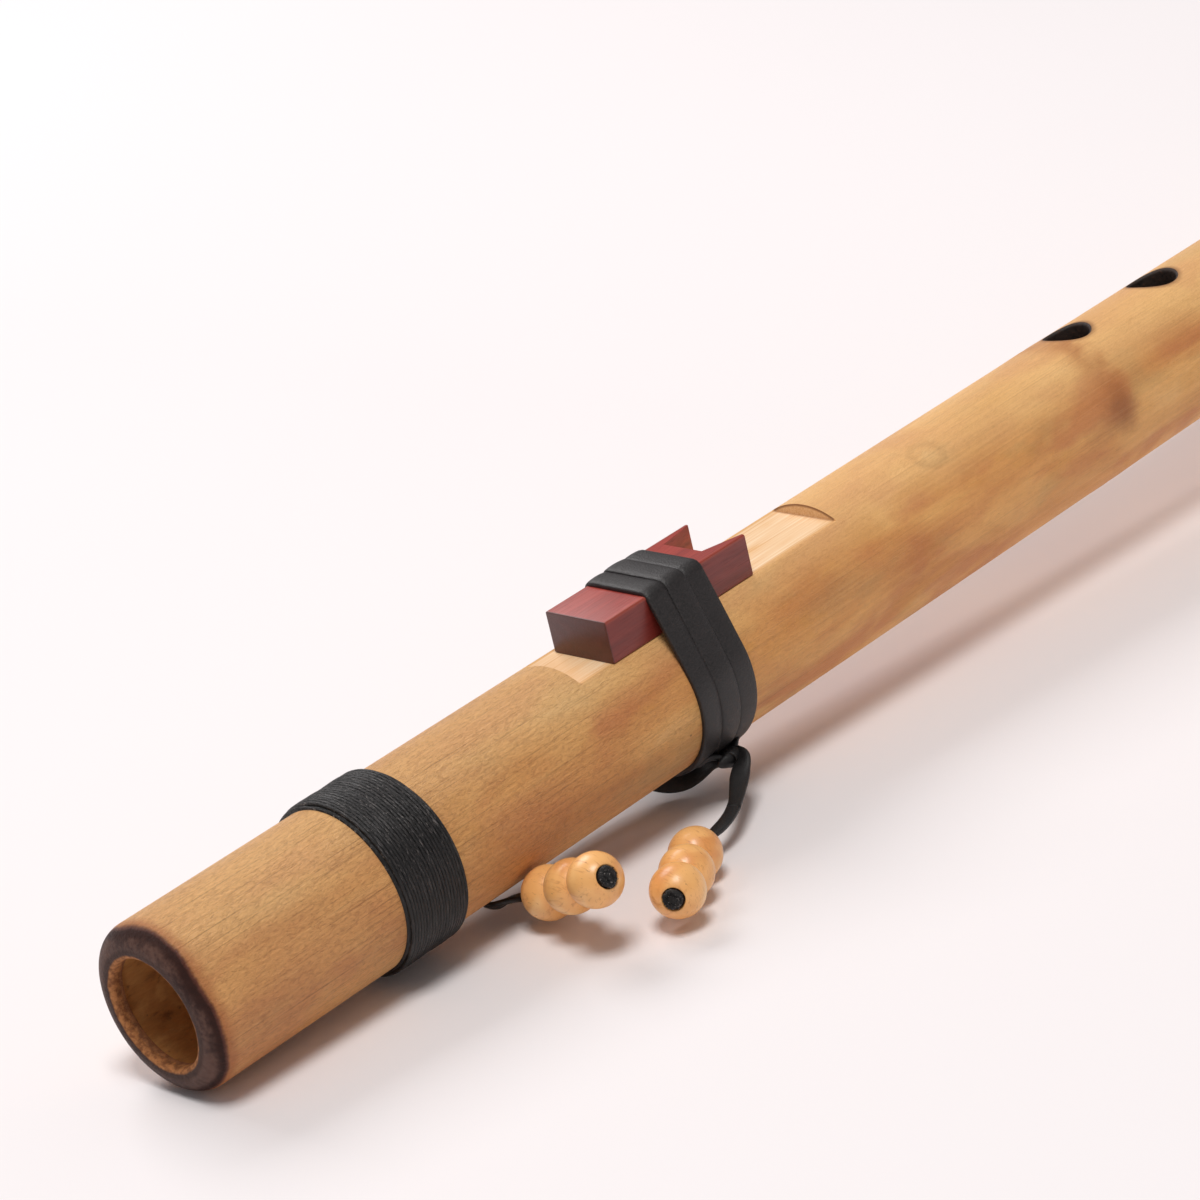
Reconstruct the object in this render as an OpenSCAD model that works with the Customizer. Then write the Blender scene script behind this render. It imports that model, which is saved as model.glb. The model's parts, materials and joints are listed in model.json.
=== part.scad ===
// Bamboo duct flute: a tube with two air chambers, a wooden block tied over the flue, thread whipped
// round the mouth end, and a leather lace whose two tails carry wooden beads.
// Millimetres. The origin is the centre of the mouth hole, +X runs along the tube to its foot and
// +Z is the side with the block and the finger holes.

/* [Tube] */
// Overall length of the tube
tube_len = 446; // [440:1:520]
// Outside diameter of the tube
tube_d = 32; // [31.8:0.1:32.2]
// Diameter of the bore of both air chambers
bore_d = 24; // [23:0.1:24.4]
// Diameter of the hole in the mouth end
mouth_hole_d = 20.8; // [18:0.1:22]
// Radius that the outside of the mouth end is rolled over with
rim_round = 4; // [2:0.1:4]
// Radius on the outside edge of the foot
foot_round = 1.5; // [0.5:0.1:2]
// Thickness of the end wall left around the mouth hole
lip_len = 2.8; // [2:0.1:4]
// Distance between the natural nodes of the bamboo
node_pitch = 126; // [125:0.5:127]
// Thickness of the node wall that parts the two chambers
node_wall = 6; // [4:0.5:8]

/* [Nest] */
// Where the flat under the block starts
nest_start = 101; // [98:0.5:104]
// Where the flat under the block ends
nest_end = 172.5; // [165:0.5:180]
// Height of the flat above the axis of the tube
nest_z = 13.65; // [13.4:0.05:14]
// Width of the flue and of the two holes it joins
flue_w = 7; // [5:0.5:8]
// Depth of the flue below the flat
flue_depth = 1; // [0.5:0.1:1]
// Where the air leaves the first chamber
vent_x = 114.5; // [112:0.5:116]
// Length of the hole that the air leaves by
vent_len = 5; // [3:0.5:6]
// Where the sound hole starts
sound_hole_x = 140.2; // [139:0.2:142]
// Length of the sound hole along the tube
sound_hole_len = 6; // [4:0.5:7]

/* [Finger holes] */
// Centre of the finger hole nearest the mouth
first_hole_x = 259.2; // [257:0.2:262]
// Distance between neighbouring finger holes
hole_pitch = 29.8; // [28:0.2:30]
// Extra distance between the two hands
hand_gap = 6; // [0:0.5:6]
// Angle of the row of finger holes from straight up
hole_turn = 6; // [-6:1:10]

/* [Block] */
// Where the block starts
block_start = 109.4; // [109:0.1:110]
// Length of the block
block_len = 38.6; // [38:0.1:40]
// Width of the block
block_w = 15.4; // [15:0.1:16]
// Height of the block
block_h = 8.4; // [8:0.1:10]
// How far the block sits off the middle of the tube
block_shift = -0.9; // [-0.9:0.1:0]
// Length of the notch over the sound hole
notch_len = 8.4; // [7:0.1:9]
// Width of the notch where it is closed
notch_w = 9.8; // [8:0.1:10]
// Thickness of each prong at its tip
prong_tip = 1.2; // [1:0.1:2]

/* [Whipping and tie] */
// Where the thread whipping starts
wrap_start = 43.8; // [40:0.2:46]
// Number of turns of thread
wrap_turns = 20; // [12:1:24]
// Distance between the turns of thread
thread_pitch = 0.72; // [0.7:0.01:0.8]
// Where the tie starts
strap_start = 120.5; // [120:0.1:121]
// Number of turns of lace round the tube and the block
strap_turns = 3; // [3:1:3]
// Width of one turn of lace
turn_w = 4.9; // [4.6:0.1:5]
// Thickness of the lace
strap_t = 1; // [0.8:0.1:1]

/* [Tails and beads] */
// Diameter of a bead
bead_d = 10.2; // [9.6:0.1:10.2]
// Diameter of the hole in a bead
bead_hole_d = 4; // [3.6:0.1:4.2]
// Distance between bead centres along the lace
bead_pitch = 9.2; // [9.2:0.1:9.6]
// Diameter of the lace where it runs as a cord
cord_d = 1.8; // [1.5:0.1:1.9]
// Direction of the left row of beads, seen from above
left_heading = 260.7; // [256:0.1:264]
// Angle that the left row of beads rises at
left_rise = 24.4; // [20:0.1:26]
// Direction of the right row of beads, seen from above
right_heading = 214.5; // [212:0.1:218]
// Angle that the right row of beads rises at
right_rise = 9; // [6:0.1:12]

/* [Hidden] */
$fn = 64;

tube_r = tube_d / 2;
bore_r = bore_d / 2;
mouth_hole_r = mouth_hole_d / 2;
// rounding where the mouth hole meets the end face
lip_round = 1;
// sanded scars of the nodes along the outside
scar_w = 1.2;
scar_depth = 0.2;
// wall between the chambers, centred on the first node
wall_start = node_pitch - node_wall / 2;
wall_end = node_pitch + node_wall / 2;
// cutters reach this far past the surface they cut
over = 1;

// diameters of the finger holes from the mouth end, and how many belong to the upper hand
hole_d = [9.2, 10, 9.6, 10, 8.8];
upper_holes = 3;

// solids that touch are kept this far apart
seat_gap = 0.03;
// running clearance of a bead on the lace, and of the block under the tie
run_gap = 0.07;
slide_gap = 0.05;
// how far the tie's corners are rounded, and the bevel along the block's long edges under them
block_edge = 0.6;
block_bevel = 0.42;
block_bottom = nest_z + seat_gap;
block_top = block_bottom + block_h;
// the middle turn of the tie rides up over its neighbours
turn_lift = 0.2;
strap_outer = tube_r + seat_gap + strap_t + turn_lift;

// the double knot lies against the tie, below the tube on the side facing -Y
knot_r = 1.9;
knot_step = 3.2;
knot_turn = 43;
knot_reach = strap_outer + knot_r + seat_gap;
knot_at = [strap_start + 5.6, -knot_reach * sin(knot_turn), -knot_reach * cos(knot_turn)];
cord_r = cord_d / 2;
cord_offset = knot_r + cord_r + 0.05;

// where the tails bend: each bend is a ball that turns in a cup
bend_r = 1.5;
cup_gap = 0.06;
right_root = knot_at + [knot_step, 0, 0] + cord_offset * unit([-0.2, -0.95, 0.05]);
left_root = knot_at + cord_offset * unit([-0.45, 0.5, -0.75]);
under_tube = [114.8, 4.5, -19.9];
left_bend = [76.6, -7.2, -17.2];
left_row_at = [75.7, -11.9, -15.7];
right_row_at = [104.6, -25.8, -17.3];

// the rows of beads are threaded on a core of lace that starts at the bend
bead_r = bead_d / 2;
bead_hole_r = bead_hole_d / 2;
core_r = bead_hole_r - run_gap;
bead_half = (bead_pitch - 0.08) / 2;
first_bead = bead_half + 1.2;
core_start = first_bead - bead_half + 0.1;
core_end = first_bead + 2 * bead_pitch + bead_half + 0.8;

function unit(v) = v / norm(v);

// point at t along a Bezier curve with four control points
function bezier(p, t) =
    pow(1 - t, 3) * p[0]
    + 3 * t * pow(1 - t, 2) * p[1]
    + 3 * t * t * (1 - t) * p[2]
    + t * t * t * p[3];

// angle of the straight that touches the tube's circle (radius a) and a corner's (radius b, centre c)
function lean(c, a, b, side) = atan2(c[1], c[0]) + side * acos((a - b) / norm(c));
function on_circle(c, r, angle) = c + r * [cos(angle), sin(angle)];

function hole_x(i) = first_hole_x + i * hole_pitch + (i < upper_holes ? 0 : hand_gap);

// turns a shape drawn along +Z so that it runs along +X
module along_x(x) {
    translate([x, 0, 0])
        rotate([0, 90, 0])
            children();
}

// turns a drawing in the plane across the tube into a slab from x to x + w
module across_tube(x, w) {
    translate([x, 0, 0])
        rotate([90, 0, 90])
            linear_extrude(w)
                children();
}

// places a row of beads: +Z of the children runs along the lace
module row(at, heading, rise) {
    translate(at)
        rotate([0, 90 - rise, heading])
            children();
}

// half section of the tube, radius across and length up
module tube_profile() {
    difference() {
        union() {
            translate([0, rim_round])
                square([tube_r, tube_len - rim_round - foot_round]);
            square([tube_r - rim_round, rim_round]);
            translate([0, rim_round])
                square([tube_r - foot_round, tube_len - rim_round]);
            translate([tube_r - rim_round, rim_round])
                circle(rim_round);
            translate([tube_r - foot_round, tube_len - foot_round])
                circle(foot_round);
        }
        // mouth hole with its rounded lip
        translate([0, -over])
            square([mouth_hole_r, lip_len + 2 * over]);
        difference() {
            translate([0, -over])
                square([mouth_hole_r + lip_round, lip_round + over]);
            translate([mouth_hole_r + lip_round, lip_round])
                circle(lip_round);
        }
        // the two chambers
        translate([0, lip_len])
            square([bore_r, wall_start - lip_len]);
        translate([0, wall_end])
            square([bore_r, tube_len - wall_end + over]);
        // sanded node scars
        for (x = [2 * node_pitch, 3 * node_pitch])
            translate([tube_r - scar_depth, x - scar_w / 2])
                square([scar_depth + over, scar_w]);
    }
}

module bamboo_tube() {
    color("burlywood")
        difference() {
            along_x(0)
                rotate_extrude()
                    tube_profile();
            // flat that the block sits on
            translate([nest_start, -tube_r, nest_z])
                cube([nest_end - nest_start, tube_d, tube_r]);
            // flue under the block, from the vent to the sound hole
            translate([vent_x, -flue_w / 2, nest_z - flue_depth])
                cube([sound_hole_x - vent_x + over, flue_w, tube_r]);
            translate([vent_x, -flue_w / 2, 0])
                cube([vent_len, flue_w, tube_r]);
            translate([sound_hole_x, -flue_w / 2, 0])
                cube([sound_hole_len, flue_w, tube_r]);
            for (i = [0 : len(hole_d) - 1])
                rotate([-hole_turn, 0, 0])
                    translate([hole_x(i), 0, 0])
                        cylinder(h = tube_r + over, d = hole_d[i]);
        }
}

// thread wound side by side round the mouth end
module mouth_wrap() {
    thread_r = thread_pitch / 2 + 0.06;
    color("#1f1b1a")
        along_x(wrap_start)
            rotate_extrude()
                difference() {
                    union() {
                        translate([tube_r - over, 0])
                            square([over + thread_pitch, wrap_turns * thread_pitch]);
                        for (i = [0.5 : 1 : wrap_turns])
                            translate([tube_r + thread_pitch, i * thread_pitch])
                                circle(thread_r, $fn = 24);
                    }
                    translate([0, -over])
                        square([tube_r + seat_gap, wrap_turns * thread_pitch + 2 * over]);
                }
}

// the block's outline seen from above, with its notch open to the foot
module block_plan() {
    half = block_w / 2;
    difference() {
        translate([0, -half])
            square([block_len, block_w]);
        polygon([
            [block_len - notch_len, -notch_w / 2 + 0.6],
            [block_len - notch_len, notch_w / 2 + 0.6],
            [block_len + over, half - prong_tip + 0.4],
            [block_len + over, -half + prong_tip - 0.4]
        ]);
    }
}

// the block's outline seen along the tube, with its four long edges eased
module block_end() {
    half = block_w / 2;
    ease = block_bevel;
    polygon([
        [-half, ease],
        [-half + ease, 0],
        [half - ease, 0],
        [half, ease],
        [half, block_h - ease],
        [half - ease, block_h],
        [-half + ease, block_h],
        [-half, block_h - ease]
    ]);
}

module block() {
    color("#7a2a24")
        translate([block_start, block_shift, block_bottom])
            intersection() {
                linear_extrude(block_h)
                    block_plan();
                across_tube(0, block_len)
                    block_end();
            }
}

// outline of the tie, grown by t: round the tube, straight up to the block's top corners, flat on top
module tie_outline(t) {
    a = tube_r + seat_gap + t;
    b = block_edge + slide_gap + t;
    half = block_w / 2 - block_edge;
    near = [block_shift - half, block_top - block_edge];
    far = [block_shift + half, block_top - block_edge];
    near_lean = lean(near, a, b, 1);
    far_lean = lean(far, a, b, -1);
    circle(a);
    translate(near)
        circle(b);
    translate(far)
        circle(b);
    polygon([
        on_circle([0, 0], a, near_lean),
        on_circle(near, b, near_lean),
        on_circle(near, b, 90),
        on_circle(far, b, 90),
        on_circle(far, b, far_lean),
        on_circle([0, 0], a, far_lean)
    ]);
}

module strap() {
    color("#39302e")
        difference() {
            union()
                for (i = [0 : strap_turns - 1])
                    across_tube(strap_start + i * turn_w, turn_w)
                        tie_outline(strap_t + (i == 1 ? turn_lift : 0));
            across_tube(strap_start - over, strap_turns * turn_w + 2 * over)
                tie_outline(0);
        }
}

module tie_knot() {
    color("#1f1b1a")
        translate(knot_at)
            along_x(0)
                rotate_extrude()
                    intersection() {
                        union() {
                            circle(knot_r);
                            translate([0, knot_step])
                                circle(knot_r);
                            square([knot_r, knot_step]);
                        }
                        translate([0, -knot_r])
                            square([knot_r, knot_step + 2 * knot_r]);
                    }
}

// cord from ball to ball along a curve
module cord(p, steps) {
    for (i = [0 : steps - 1])
        hull() {
            translate(bezier(p, i / steps))
                sphere(cord_r, $fn = 16);
            translate(bezier(p, (i + 1) / steps))
                sphere(cord_r, $fn = 16);
        }
}

// left tail: under the tube from the knot, then along it towards the mouth
module lace_left_run() {
    color("#1f1b1a")
        difference() {
            union() {
                cord([left_root, [135.4, 0.1, -16.9], [126, 0.5, -25.4], under_tube], 10);
                cord([under_tube, [103.3, 8.7, -14.3], [81.9, 3.3, -18.2], left_bend], 12);
            }
            translate(left_bend)
                sphere(bend_r + cup_gap);
        }
}

// lace through a row of beads, standing a little out of the last one
module bead_core() {
    cylinder(h = core_start, r = cord_r);
    translate([0, 0, core_start])
        cylinder(h = core_end - core_start, r = core_r);
}

module lace_left_end() {
    link = left_row_at - left_bend;
    color("#1f1b1a") {
        translate(left_bend)
            sphere(bend_r);
        translate(left_bend)
            rotate([0, acos(link[2] / norm(link)), atan2(link[1], link[0])])
                cylinder(h = norm(link), r = cord_r);
        translate(left_row_at)
            sphere(cord_r * 1.1);
        row(left_row_at, left_heading, left_rise)
            bead_core();
    }
}

// right tail: out of the knot and down to its beads
module lace_right_link() {
    color("#1f1b1a")
        difference() {
            cord([right_root, [120.9, -20.8, -16.9], [116.7, -26.8, -16.6], right_row_at], 12);
            translate(right_row_at)
                sphere(bend_r + cup_gap);
        }
}

module lace_right_end() {
    color("#1f1b1a") {
        translate(right_row_at)
            sphere(bend_r);
        row(right_row_at, right_heading, right_rise)
            bead_core();
    }
}

// round bead, flat where it meets its neighbours
module bead(i) {
    color("#d6a46c")
        translate([0, 0, first_bead + i * bead_pitch])
            rotate_extrude()
                intersection() {
                    circle(bead_r);
                    translate([bead_hole_r, -bead_half])
                        square([bead_r, 2 * bead_half]);
                }
}

module left_bead(i) {
    row(left_row_at, left_heading, left_rise)
        bead(i);
}

module right_bead(i) {
    row(right_row_at, right_heading, right_rise)
        bead(i);
}

bamboo_tube();
mouth_wrap();
block();
strap();
tie_knot();
lace_left_run();
lace_left_end();
lace_right_link();
lace_right_end();
left_bead(0);  // bead_left_rear
left_bead(1);  // bead_left_mid
left_bead(2);  // bead_left_front
right_bead(0);  // bead_right_rear
right_bead(1);  // bead_right_mid
right_bead(2);  // bead_right_front
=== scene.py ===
"""Looks of a bamboo duct flute: tube, thread whipping, tied-on block, leather lace and wooden beads.

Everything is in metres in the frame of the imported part: the origin is the centre of the mouth hole,
+X runs along the tube to its foot and +Z is the side with the block and the finger holes.
Angles round the tube are measured from +Z towards +Y.
"""

import json
import math

import bmesh
import bpy
import numpy as np
from mathutils import Matrix, Vector


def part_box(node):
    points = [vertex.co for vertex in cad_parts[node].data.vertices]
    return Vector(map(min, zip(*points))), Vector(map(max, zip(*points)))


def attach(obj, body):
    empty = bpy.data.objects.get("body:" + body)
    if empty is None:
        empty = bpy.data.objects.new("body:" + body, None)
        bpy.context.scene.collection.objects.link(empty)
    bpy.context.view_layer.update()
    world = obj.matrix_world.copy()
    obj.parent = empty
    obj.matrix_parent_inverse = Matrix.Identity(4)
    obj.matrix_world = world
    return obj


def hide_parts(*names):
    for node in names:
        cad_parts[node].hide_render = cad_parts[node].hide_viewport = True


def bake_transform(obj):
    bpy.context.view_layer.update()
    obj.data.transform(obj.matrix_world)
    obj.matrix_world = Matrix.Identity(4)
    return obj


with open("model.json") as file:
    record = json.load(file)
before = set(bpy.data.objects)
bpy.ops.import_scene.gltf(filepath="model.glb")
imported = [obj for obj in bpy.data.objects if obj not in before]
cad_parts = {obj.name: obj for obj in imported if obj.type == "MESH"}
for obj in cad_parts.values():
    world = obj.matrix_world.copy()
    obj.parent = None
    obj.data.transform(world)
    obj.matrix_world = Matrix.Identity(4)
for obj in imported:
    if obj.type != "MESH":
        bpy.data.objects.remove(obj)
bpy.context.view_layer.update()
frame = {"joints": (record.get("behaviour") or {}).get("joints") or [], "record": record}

MM = 0.001
SEED = 7

JOINTS = {joint["name"]: joint for joint in frame["joints"]}
MOUNTS = {mount["name"]: mount for mount in frame["record"]["mounts"]}

# ---------------------------------------------------------------- sizes of the part, from the frame
tube_low, tube_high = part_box("bamboo_tube")
wrap_low, wrap_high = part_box("mouth_wrap")
strap_low, strap_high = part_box("strap")
block_low, block_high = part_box("block")
knot_low, knot_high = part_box("tie_knot")

TUBE_LEN = tube_high.x
TUBE_R = tube_high.y
MOUTH_R = MOUNTS["mouth_hole"]["dims"]["r_mm"] * MM
BORE_R = MOUNTS["foot_bore"]["dims"]["r_mm"] * MM

RIM_ROUND = 4 * MM
LIP_ROUND = 1 * MM
LIP_LEN = 2.8 * MM
FOOT_ROUND = 1.5 * MM
NODE_PITCH = 126 * MM
NODE_WALL = 6 * MM

NEST_START = 101 * MM
NEST_END = 172.5 * MM
NEST_Z = block_low.z - 0.03 * MM
FLUE_WIDTH = 7 * MM
FLUE_DEPTH = 1 * MM
VENT_X = 114.5 * MM
VENT_LEN = 5 * MM
SOUND_HOLE_X = 140.2 * MM
SOUND_HOLE_LEN = 6 * MM

HOLE_DIAMETERS = [9.2 * MM, 10 * MM, 9.6 * MM, 10 * MM, 8.8 * MM]
FIRST_HOLE_X = 259.2 * MM
HOLE_PITCH = 29.8 * MM
HAND_GAP = 6 * MM
UPPER_HOLES = 3
HOLE_TURN = math.radians(6)

WRAP_TURNS = 20
STRAP_TURNS = 3
STRAP_THICK = 1 * MM
MIDDLE_LIFT = 0.2 * MM


def hole_x(i):
    """Where finger hole i lies along the tube."""
    return FIRST_HOLE_X + i * HOLE_PITCH + (0 if i < UPPER_HOLES else HAND_GAP)


# ---------------------------------------------------------------- mesh helpers


def new_piece(name, points, faces, materials, slots=None, sharp=None):
    """A smooth-shaded mesh object. slots gives each face's material and sharp an angle in degrees for hard edges."""
    mesh = bpy.data.meshes.new(name)
    mesh.from_pydata(np.asarray(points, float).tolist(), [], faces)
    for material in materials:
        mesh.materials.append(material)
    if slots is not None:
        mesh.polygons.foreach_set("material_index", np.asarray(slots, np.int32))
    mesh.polygons.foreach_set("use_smooth", np.ones(len(mesh.polygons), bool))
    mesh.update()
    if sharp is not None:
        mark_sharp(mesh, sharp)
    piece = bpy.data.objects.new(name, mesh)
    bpy.context.scene.collection.objects.link(piece)
    return piece


def mark_sharp(mesh, degrees):
    """Edges that fold by more than the angle are shaded hard."""
    limit = math.radians(degrees)
    work = bmesh.new()
    work.from_mesh(mesh)
    for edge in work.edges:
        folds = len(edge.link_faces) == 2 and edge.calc_face_angle(0) > limit
        edge.smooth = not folds
    work.to_mesh(mesh)
    work.free()


def grid_faces(rows, columns, start=0, wrap=True):
    """Quads between neighbouring rows of points; with wrap each row is a closed ring."""
    faces = []
    for i in range(rows - 1):
        a = start + i * columns
        b = a + columns
        for j in range(columns if wrap else columns - 1):
            k = (j + 1) % columns
            faces.append((a + j, a + k, b + k, b + j))
    return faces


def capped_rings(rings):
    """Points and faces of a closed skin through rings of equal size, with a fan on each end."""
    rings = np.asarray(rings, float)
    count, size = rings.shape[:2]
    points = rings.reshape(-1, 3).tolist()
    faces = grid_faces(count, size)
    for row, turn in ((0, 1), (count - 1, -1)):
        centre = len(points)
        points.append(rings[row].mean(0).tolist())
        for j in range(size):
            a, b = row * size + j, row * size + (j + 1) % size
            faces.append((b, a, centre) if turn > 0 else (a, b, centre))
    return points, faces


def joined(parts):
    """Points and faces of several meshes as one."""
    points, faces = [], []
    for some_points, some_faces in parts:
        shift = len(points)
        points.extend(some_points)
        faces.extend([tuple(shift + v for v in face) for face in some_faces])
    return points, faces


def bezier(controls, t):
    """Points at the values t along a cubic curve."""
    p = np.asarray(controls, float)
    t = np.asarray(t, float)[:, None]
    return (1 - t) ** 3 * p[0] + 3 * t * (1 - t) ** 2 * p[1] + 3 * t**2 * (1 - t) * p[2] + t**3 * p[3]


def unit(v):
    v = np.asarray(v, float)
    return v / np.linalg.norm(v)


def even_path(points, step):
    """The same line with its points spread evenly, about step apart."""
    points = np.asarray(points, float)
    run = np.concatenate([[0], np.cumsum(np.linalg.norm(np.diff(points, axis=0), axis=1))])
    at = np.linspace(0, run[-1], max(4, int(run[-1] / step)))
    return np.stack([np.interp(at, run, points[:, k]) for k in range(3)], 1)


def smoothed(points, rounds):
    """Relaxes a line a few times, its ends fixed."""
    points = points.copy()
    for _ in range(rounds):
        points[1:-1] = (points[:-2] + 2 * points[1:-1] + points[2:]) / 4
    return points


def sweep(path, up, half_width, half_thick, twist=None, sides=14, square=0.7, closed=False, hold=0.0):
    """A flat band with rounded edges along a path. up is the band's face direction at the start, twist its turn.

    hold is how strongly the face comes back to up at every step.
    """
    path = np.asarray(path, float)
    count = len(path)
    half_width = np.broadcast_to(half_width, count)
    half_thick = np.broadcast_to(half_thick, count)
    twist = np.zeros(count) if twist is None else np.broadcast_to(twist, count)
    tangent = np.gradient(path, axis=0)
    if closed:
        tangent = np.roll(path, -1, 0) - np.roll(path, 1, 0)
    tangent /= np.linalg.norm(tangent, axis=1)[:, None]
    turn = np.linspace(0, 2 * math.pi, sides, endpoint=False)
    across = np.sign(np.cos(turn)) * np.abs(np.cos(turn)) ** square
    through = np.sign(np.sin(turn)) * np.abs(np.sin(turn)) ** square
    normal = unit(up)
    rings = []
    for i in range(count):
        normal = normal + unit(up) * hold
        normal = unit(normal - tangent[i] * (normal @ tangent[i]))
        side = np.cross(tangent[i], normal)
        c, s = math.cos(twist[i]), math.sin(twist[i])
        face, edge = c * normal + s * side, c * side - s * normal
        ring = path[i] + np.outer(across * half_width[i], edge) + np.outer(through * half_thick[i], face)
        rings.append(ring)
    if closed:
        points = np.asarray(rings).reshape(-1, 3).tolist()
        faces = grid_faces(count, sides)
        last = (count - 1) * sides
        faces += [(last + j, last + (j + 1) % sides, (j + 1) % sides, j) for j in range(sides)]
        return points, faces
    return capped_rings(rings)


def ripple(random, count, waves=6):
    """A smooth random line of count values between about -1 and 1, closed on itself."""
    at = np.linspace(0, 2 * math.pi, count, endpoint=False)
    line = np.zeros(count)
    for k in range(1, waves + 1):
        line += random.normal() / k * np.cos(k * at + random.uniform(0, 2 * math.pi))
    return line / 1.6


# ---------------------------------------------------------------- material helpers


def srgb(red, green, blue):
    """Linear colour from the 0 to 255 values of a colour picker."""
    def linear(v):
        v /= 255
        return v / 12.92 if v <= 0.04045 else ((v + 0.055) / 1.055) ** 2.4
    return (linear(red), linear(green), linear(blue), 1.0)


class Looks:
    """A procedural material, built up from short calls. Positions are in millimetres in the part's frame."""

    def __init__(self, name):
        self.material = bpy.data.materials.new(name)
        self.material.use_nodes = True
        self.tree = self.material.node_tree
        self.tree.nodes.clear()
        self.shader = self.tree.nodes.new("ShaderNodeBsdfPrincipled")
        output = self.tree.nodes.new("ShaderNodeOutputMaterial")
        self.tree.links.new(self.shader.outputs[0], output.inputs["Surface"])
        coordinates = self.tree.nodes.new("ShaderNodeTexCoord")
        self.place = self.vector("MULTIPLY", coordinates.outputs["Object"], (1000, 1000, 1000))

    def put(self, socket, value):
        if isinstance(value, bpy.types.NodeSocket):
            self.tree.links.new(value, socket)
        else:
            socket.default_value = value

    def math(self, operation, a, b=0.0, clamp=False):
        node = self.tree.nodes.new("ShaderNodeMath")
        node.operation = operation
        node.use_clamp = clamp
        self.put(node.inputs[0], a)
        self.put(node.inputs[1], b)
        return node.outputs[0]

    def vector(self, operation, a, b=(0, 0, 0), out=0):
        node = self.tree.nodes.new("ShaderNodeVectorMath")
        node.operation = operation
        self.put(node.inputs[0], a)
        self.put(node.inputs[1], b)
        return node.outputs[out]

    def split(self, vector):
        node = self.tree.nodes.new("ShaderNodeSeparateXYZ")
        self.put(node.inputs[0], vector)
        return node.outputs[0], node.outputs[1], node.outputs[2]

    def join(self, x, y, z):
        node = self.tree.nodes.new("ShaderNodeCombineXYZ")
        for socket, value in zip(node.inputs, (x, y, z)):
            self.put(socket, value)
        return node.outputs[0]

    def noise(self, vector, scale, detail=3.0, rough=0.5, distort=0.0, seed=0.0):
        """Noise of one size per axis: scale is (x, y, z) repeats per millimetre."""
        node = self.tree.nodes.new("ShaderNodeTexNoise")
        node.noise_dimensions = "4D"
        self.put(node.inputs["Vector"], self.vector("MULTIPLY", vector, scale))
        self.put(node.inputs["W"], seed)
        node.inputs["Scale"].default_value = 1.0
        node.inputs["Detail"].default_value = detail
        node.inputs["Roughness"].default_value = rough
        node.inputs["Distortion"].default_value = distort
        return node.outputs["Fac"]

    def cells(self, vector, scale, out="Distance"):
        node = self.tree.nodes.new("ShaderNodeTexVoronoi")
        self.put(node.inputs["Vector"], self.vector("MULTIPLY", vector, scale))
        node.inputs["Scale"].default_value = 1.0
        return node.outputs[out]

    def step(self, value, low, high, to_low=0.0, to_high=1.0):
        """Eases from to_low to to_high as the value goes from low to high."""
        node = self.tree.nodes.new("ShaderNodeMapRange")
        node.interpolation_type = "SMOOTHSTEP"
        self.put(node.inputs["Value"], value)
        for name, number in (("From Min", low), ("From Max", high), ("To Min", to_low), ("To Max", to_high)):
            self.put(node.inputs[name], number)
        return node.outputs[0]

    def ramp(self, value, stops):
        node = self.tree.nodes.new("ShaderNodeValToRGB")
        node.color_ramp.interpolation = "EASE"
        elements = node.color_ramp.elements
        while len(elements) < len(stops):
            elements.new(0.5)
        for element, (at, colour) in zip(elements, stops):
            element.position = at
            element.color = colour
        self.put(node.inputs[0], value)
        return node.outputs[0]

    def mix(self, amount, a, b, blend="MIX"):
        node = self.tree.nodes.new("ShaderNodeMix")
        node.data_type = "RGBA"
        node.blend_type = blend
        self.put(node.inputs["Factor"], amount)
        self.put(node.inputs[6], a)
        self.put(node.inputs[7], b)
        return node.outputs[2]

    def spot(self, surface, centre, size, soft=0.35):
        """1 inside an ellipse on the surface coordinates, fading to 0 over its outer part."""
        shifted = self.vector("SUBTRACT", surface, centre)
        scaled = self.vector("MULTIPLY", shifted, (1 / size[0], 1 / size[1], 0))
        return self.step(self.vector("LENGTH", scaled, out=1), 1.0, soft, 0.0, 1.0)

    def finish(self, colour, roughness, height=None, depth=0.02, **inputs):
        """Connects the colour, the roughness and a bump height whose full range is depth millimetres."""
        self.put(self.shader.inputs["Base Color"], colour)
        self.put(self.shader.inputs["Roughness"], roughness)
        if height is not None:
            bump = self.tree.nodes.new("ShaderNodeBump")
            bump.inputs["Strength"].default_value = 1.0
            bump.inputs["Distance"].default_value = depth * MM
            self.put(bump.inputs["Height"], height)
            self.tree.links.new(bump.outputs[0], self.shader.inputs["Normal"])
        for name, value in inputs.items():
            self.put(self.shader.inputs[name.replace("_", " ")], value)
        return self.material


# ---------------------------------------------------------------- materials


def around_tube(looks):
    """Coordinates on the tube's skin: along it and round it, both in millimetres, and the distance from the axis."""
    x, y, z = looks.split(looks.place)
    angle = looks.math("ARCTAN2", y, z)
    arc = looks.math("MULTIPLY", angle, TUBE_R / MM)
    radius = looks.vector("LENGTH", looks.join(0.0, y, z), out=1)
    return looks.join(x, arc, 0.0), x, radius


def at_angle(x_mm, degrees):
    """A place on the skin: along the tube in millimetres and round it in degrees from the top."""
    return (x_mm, math.radians(degrees) * TUBE_R / MM, 0.0)


def hole_distance(looks, surface):
    """Distance in millimetres from the edge of the nearest finger hole."""
    nearest = None
    for i, diameter in enumerate(HOLE_DIAMETERS):
        centre = (hole_x(i) / MM, HOLE_TURN * TUBE_R / MM, 0.0)
        away = looks.vector("LENGTH", looks.vector("SUBTRACT", surface, centre), out=1)
        edge = looks.math("SUBTRACT", away, diameter / 2 / MM)
        nearest = edge if nearest is None else looks.math("MINIMUM", nearest, edge)
    return nearest


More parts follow.
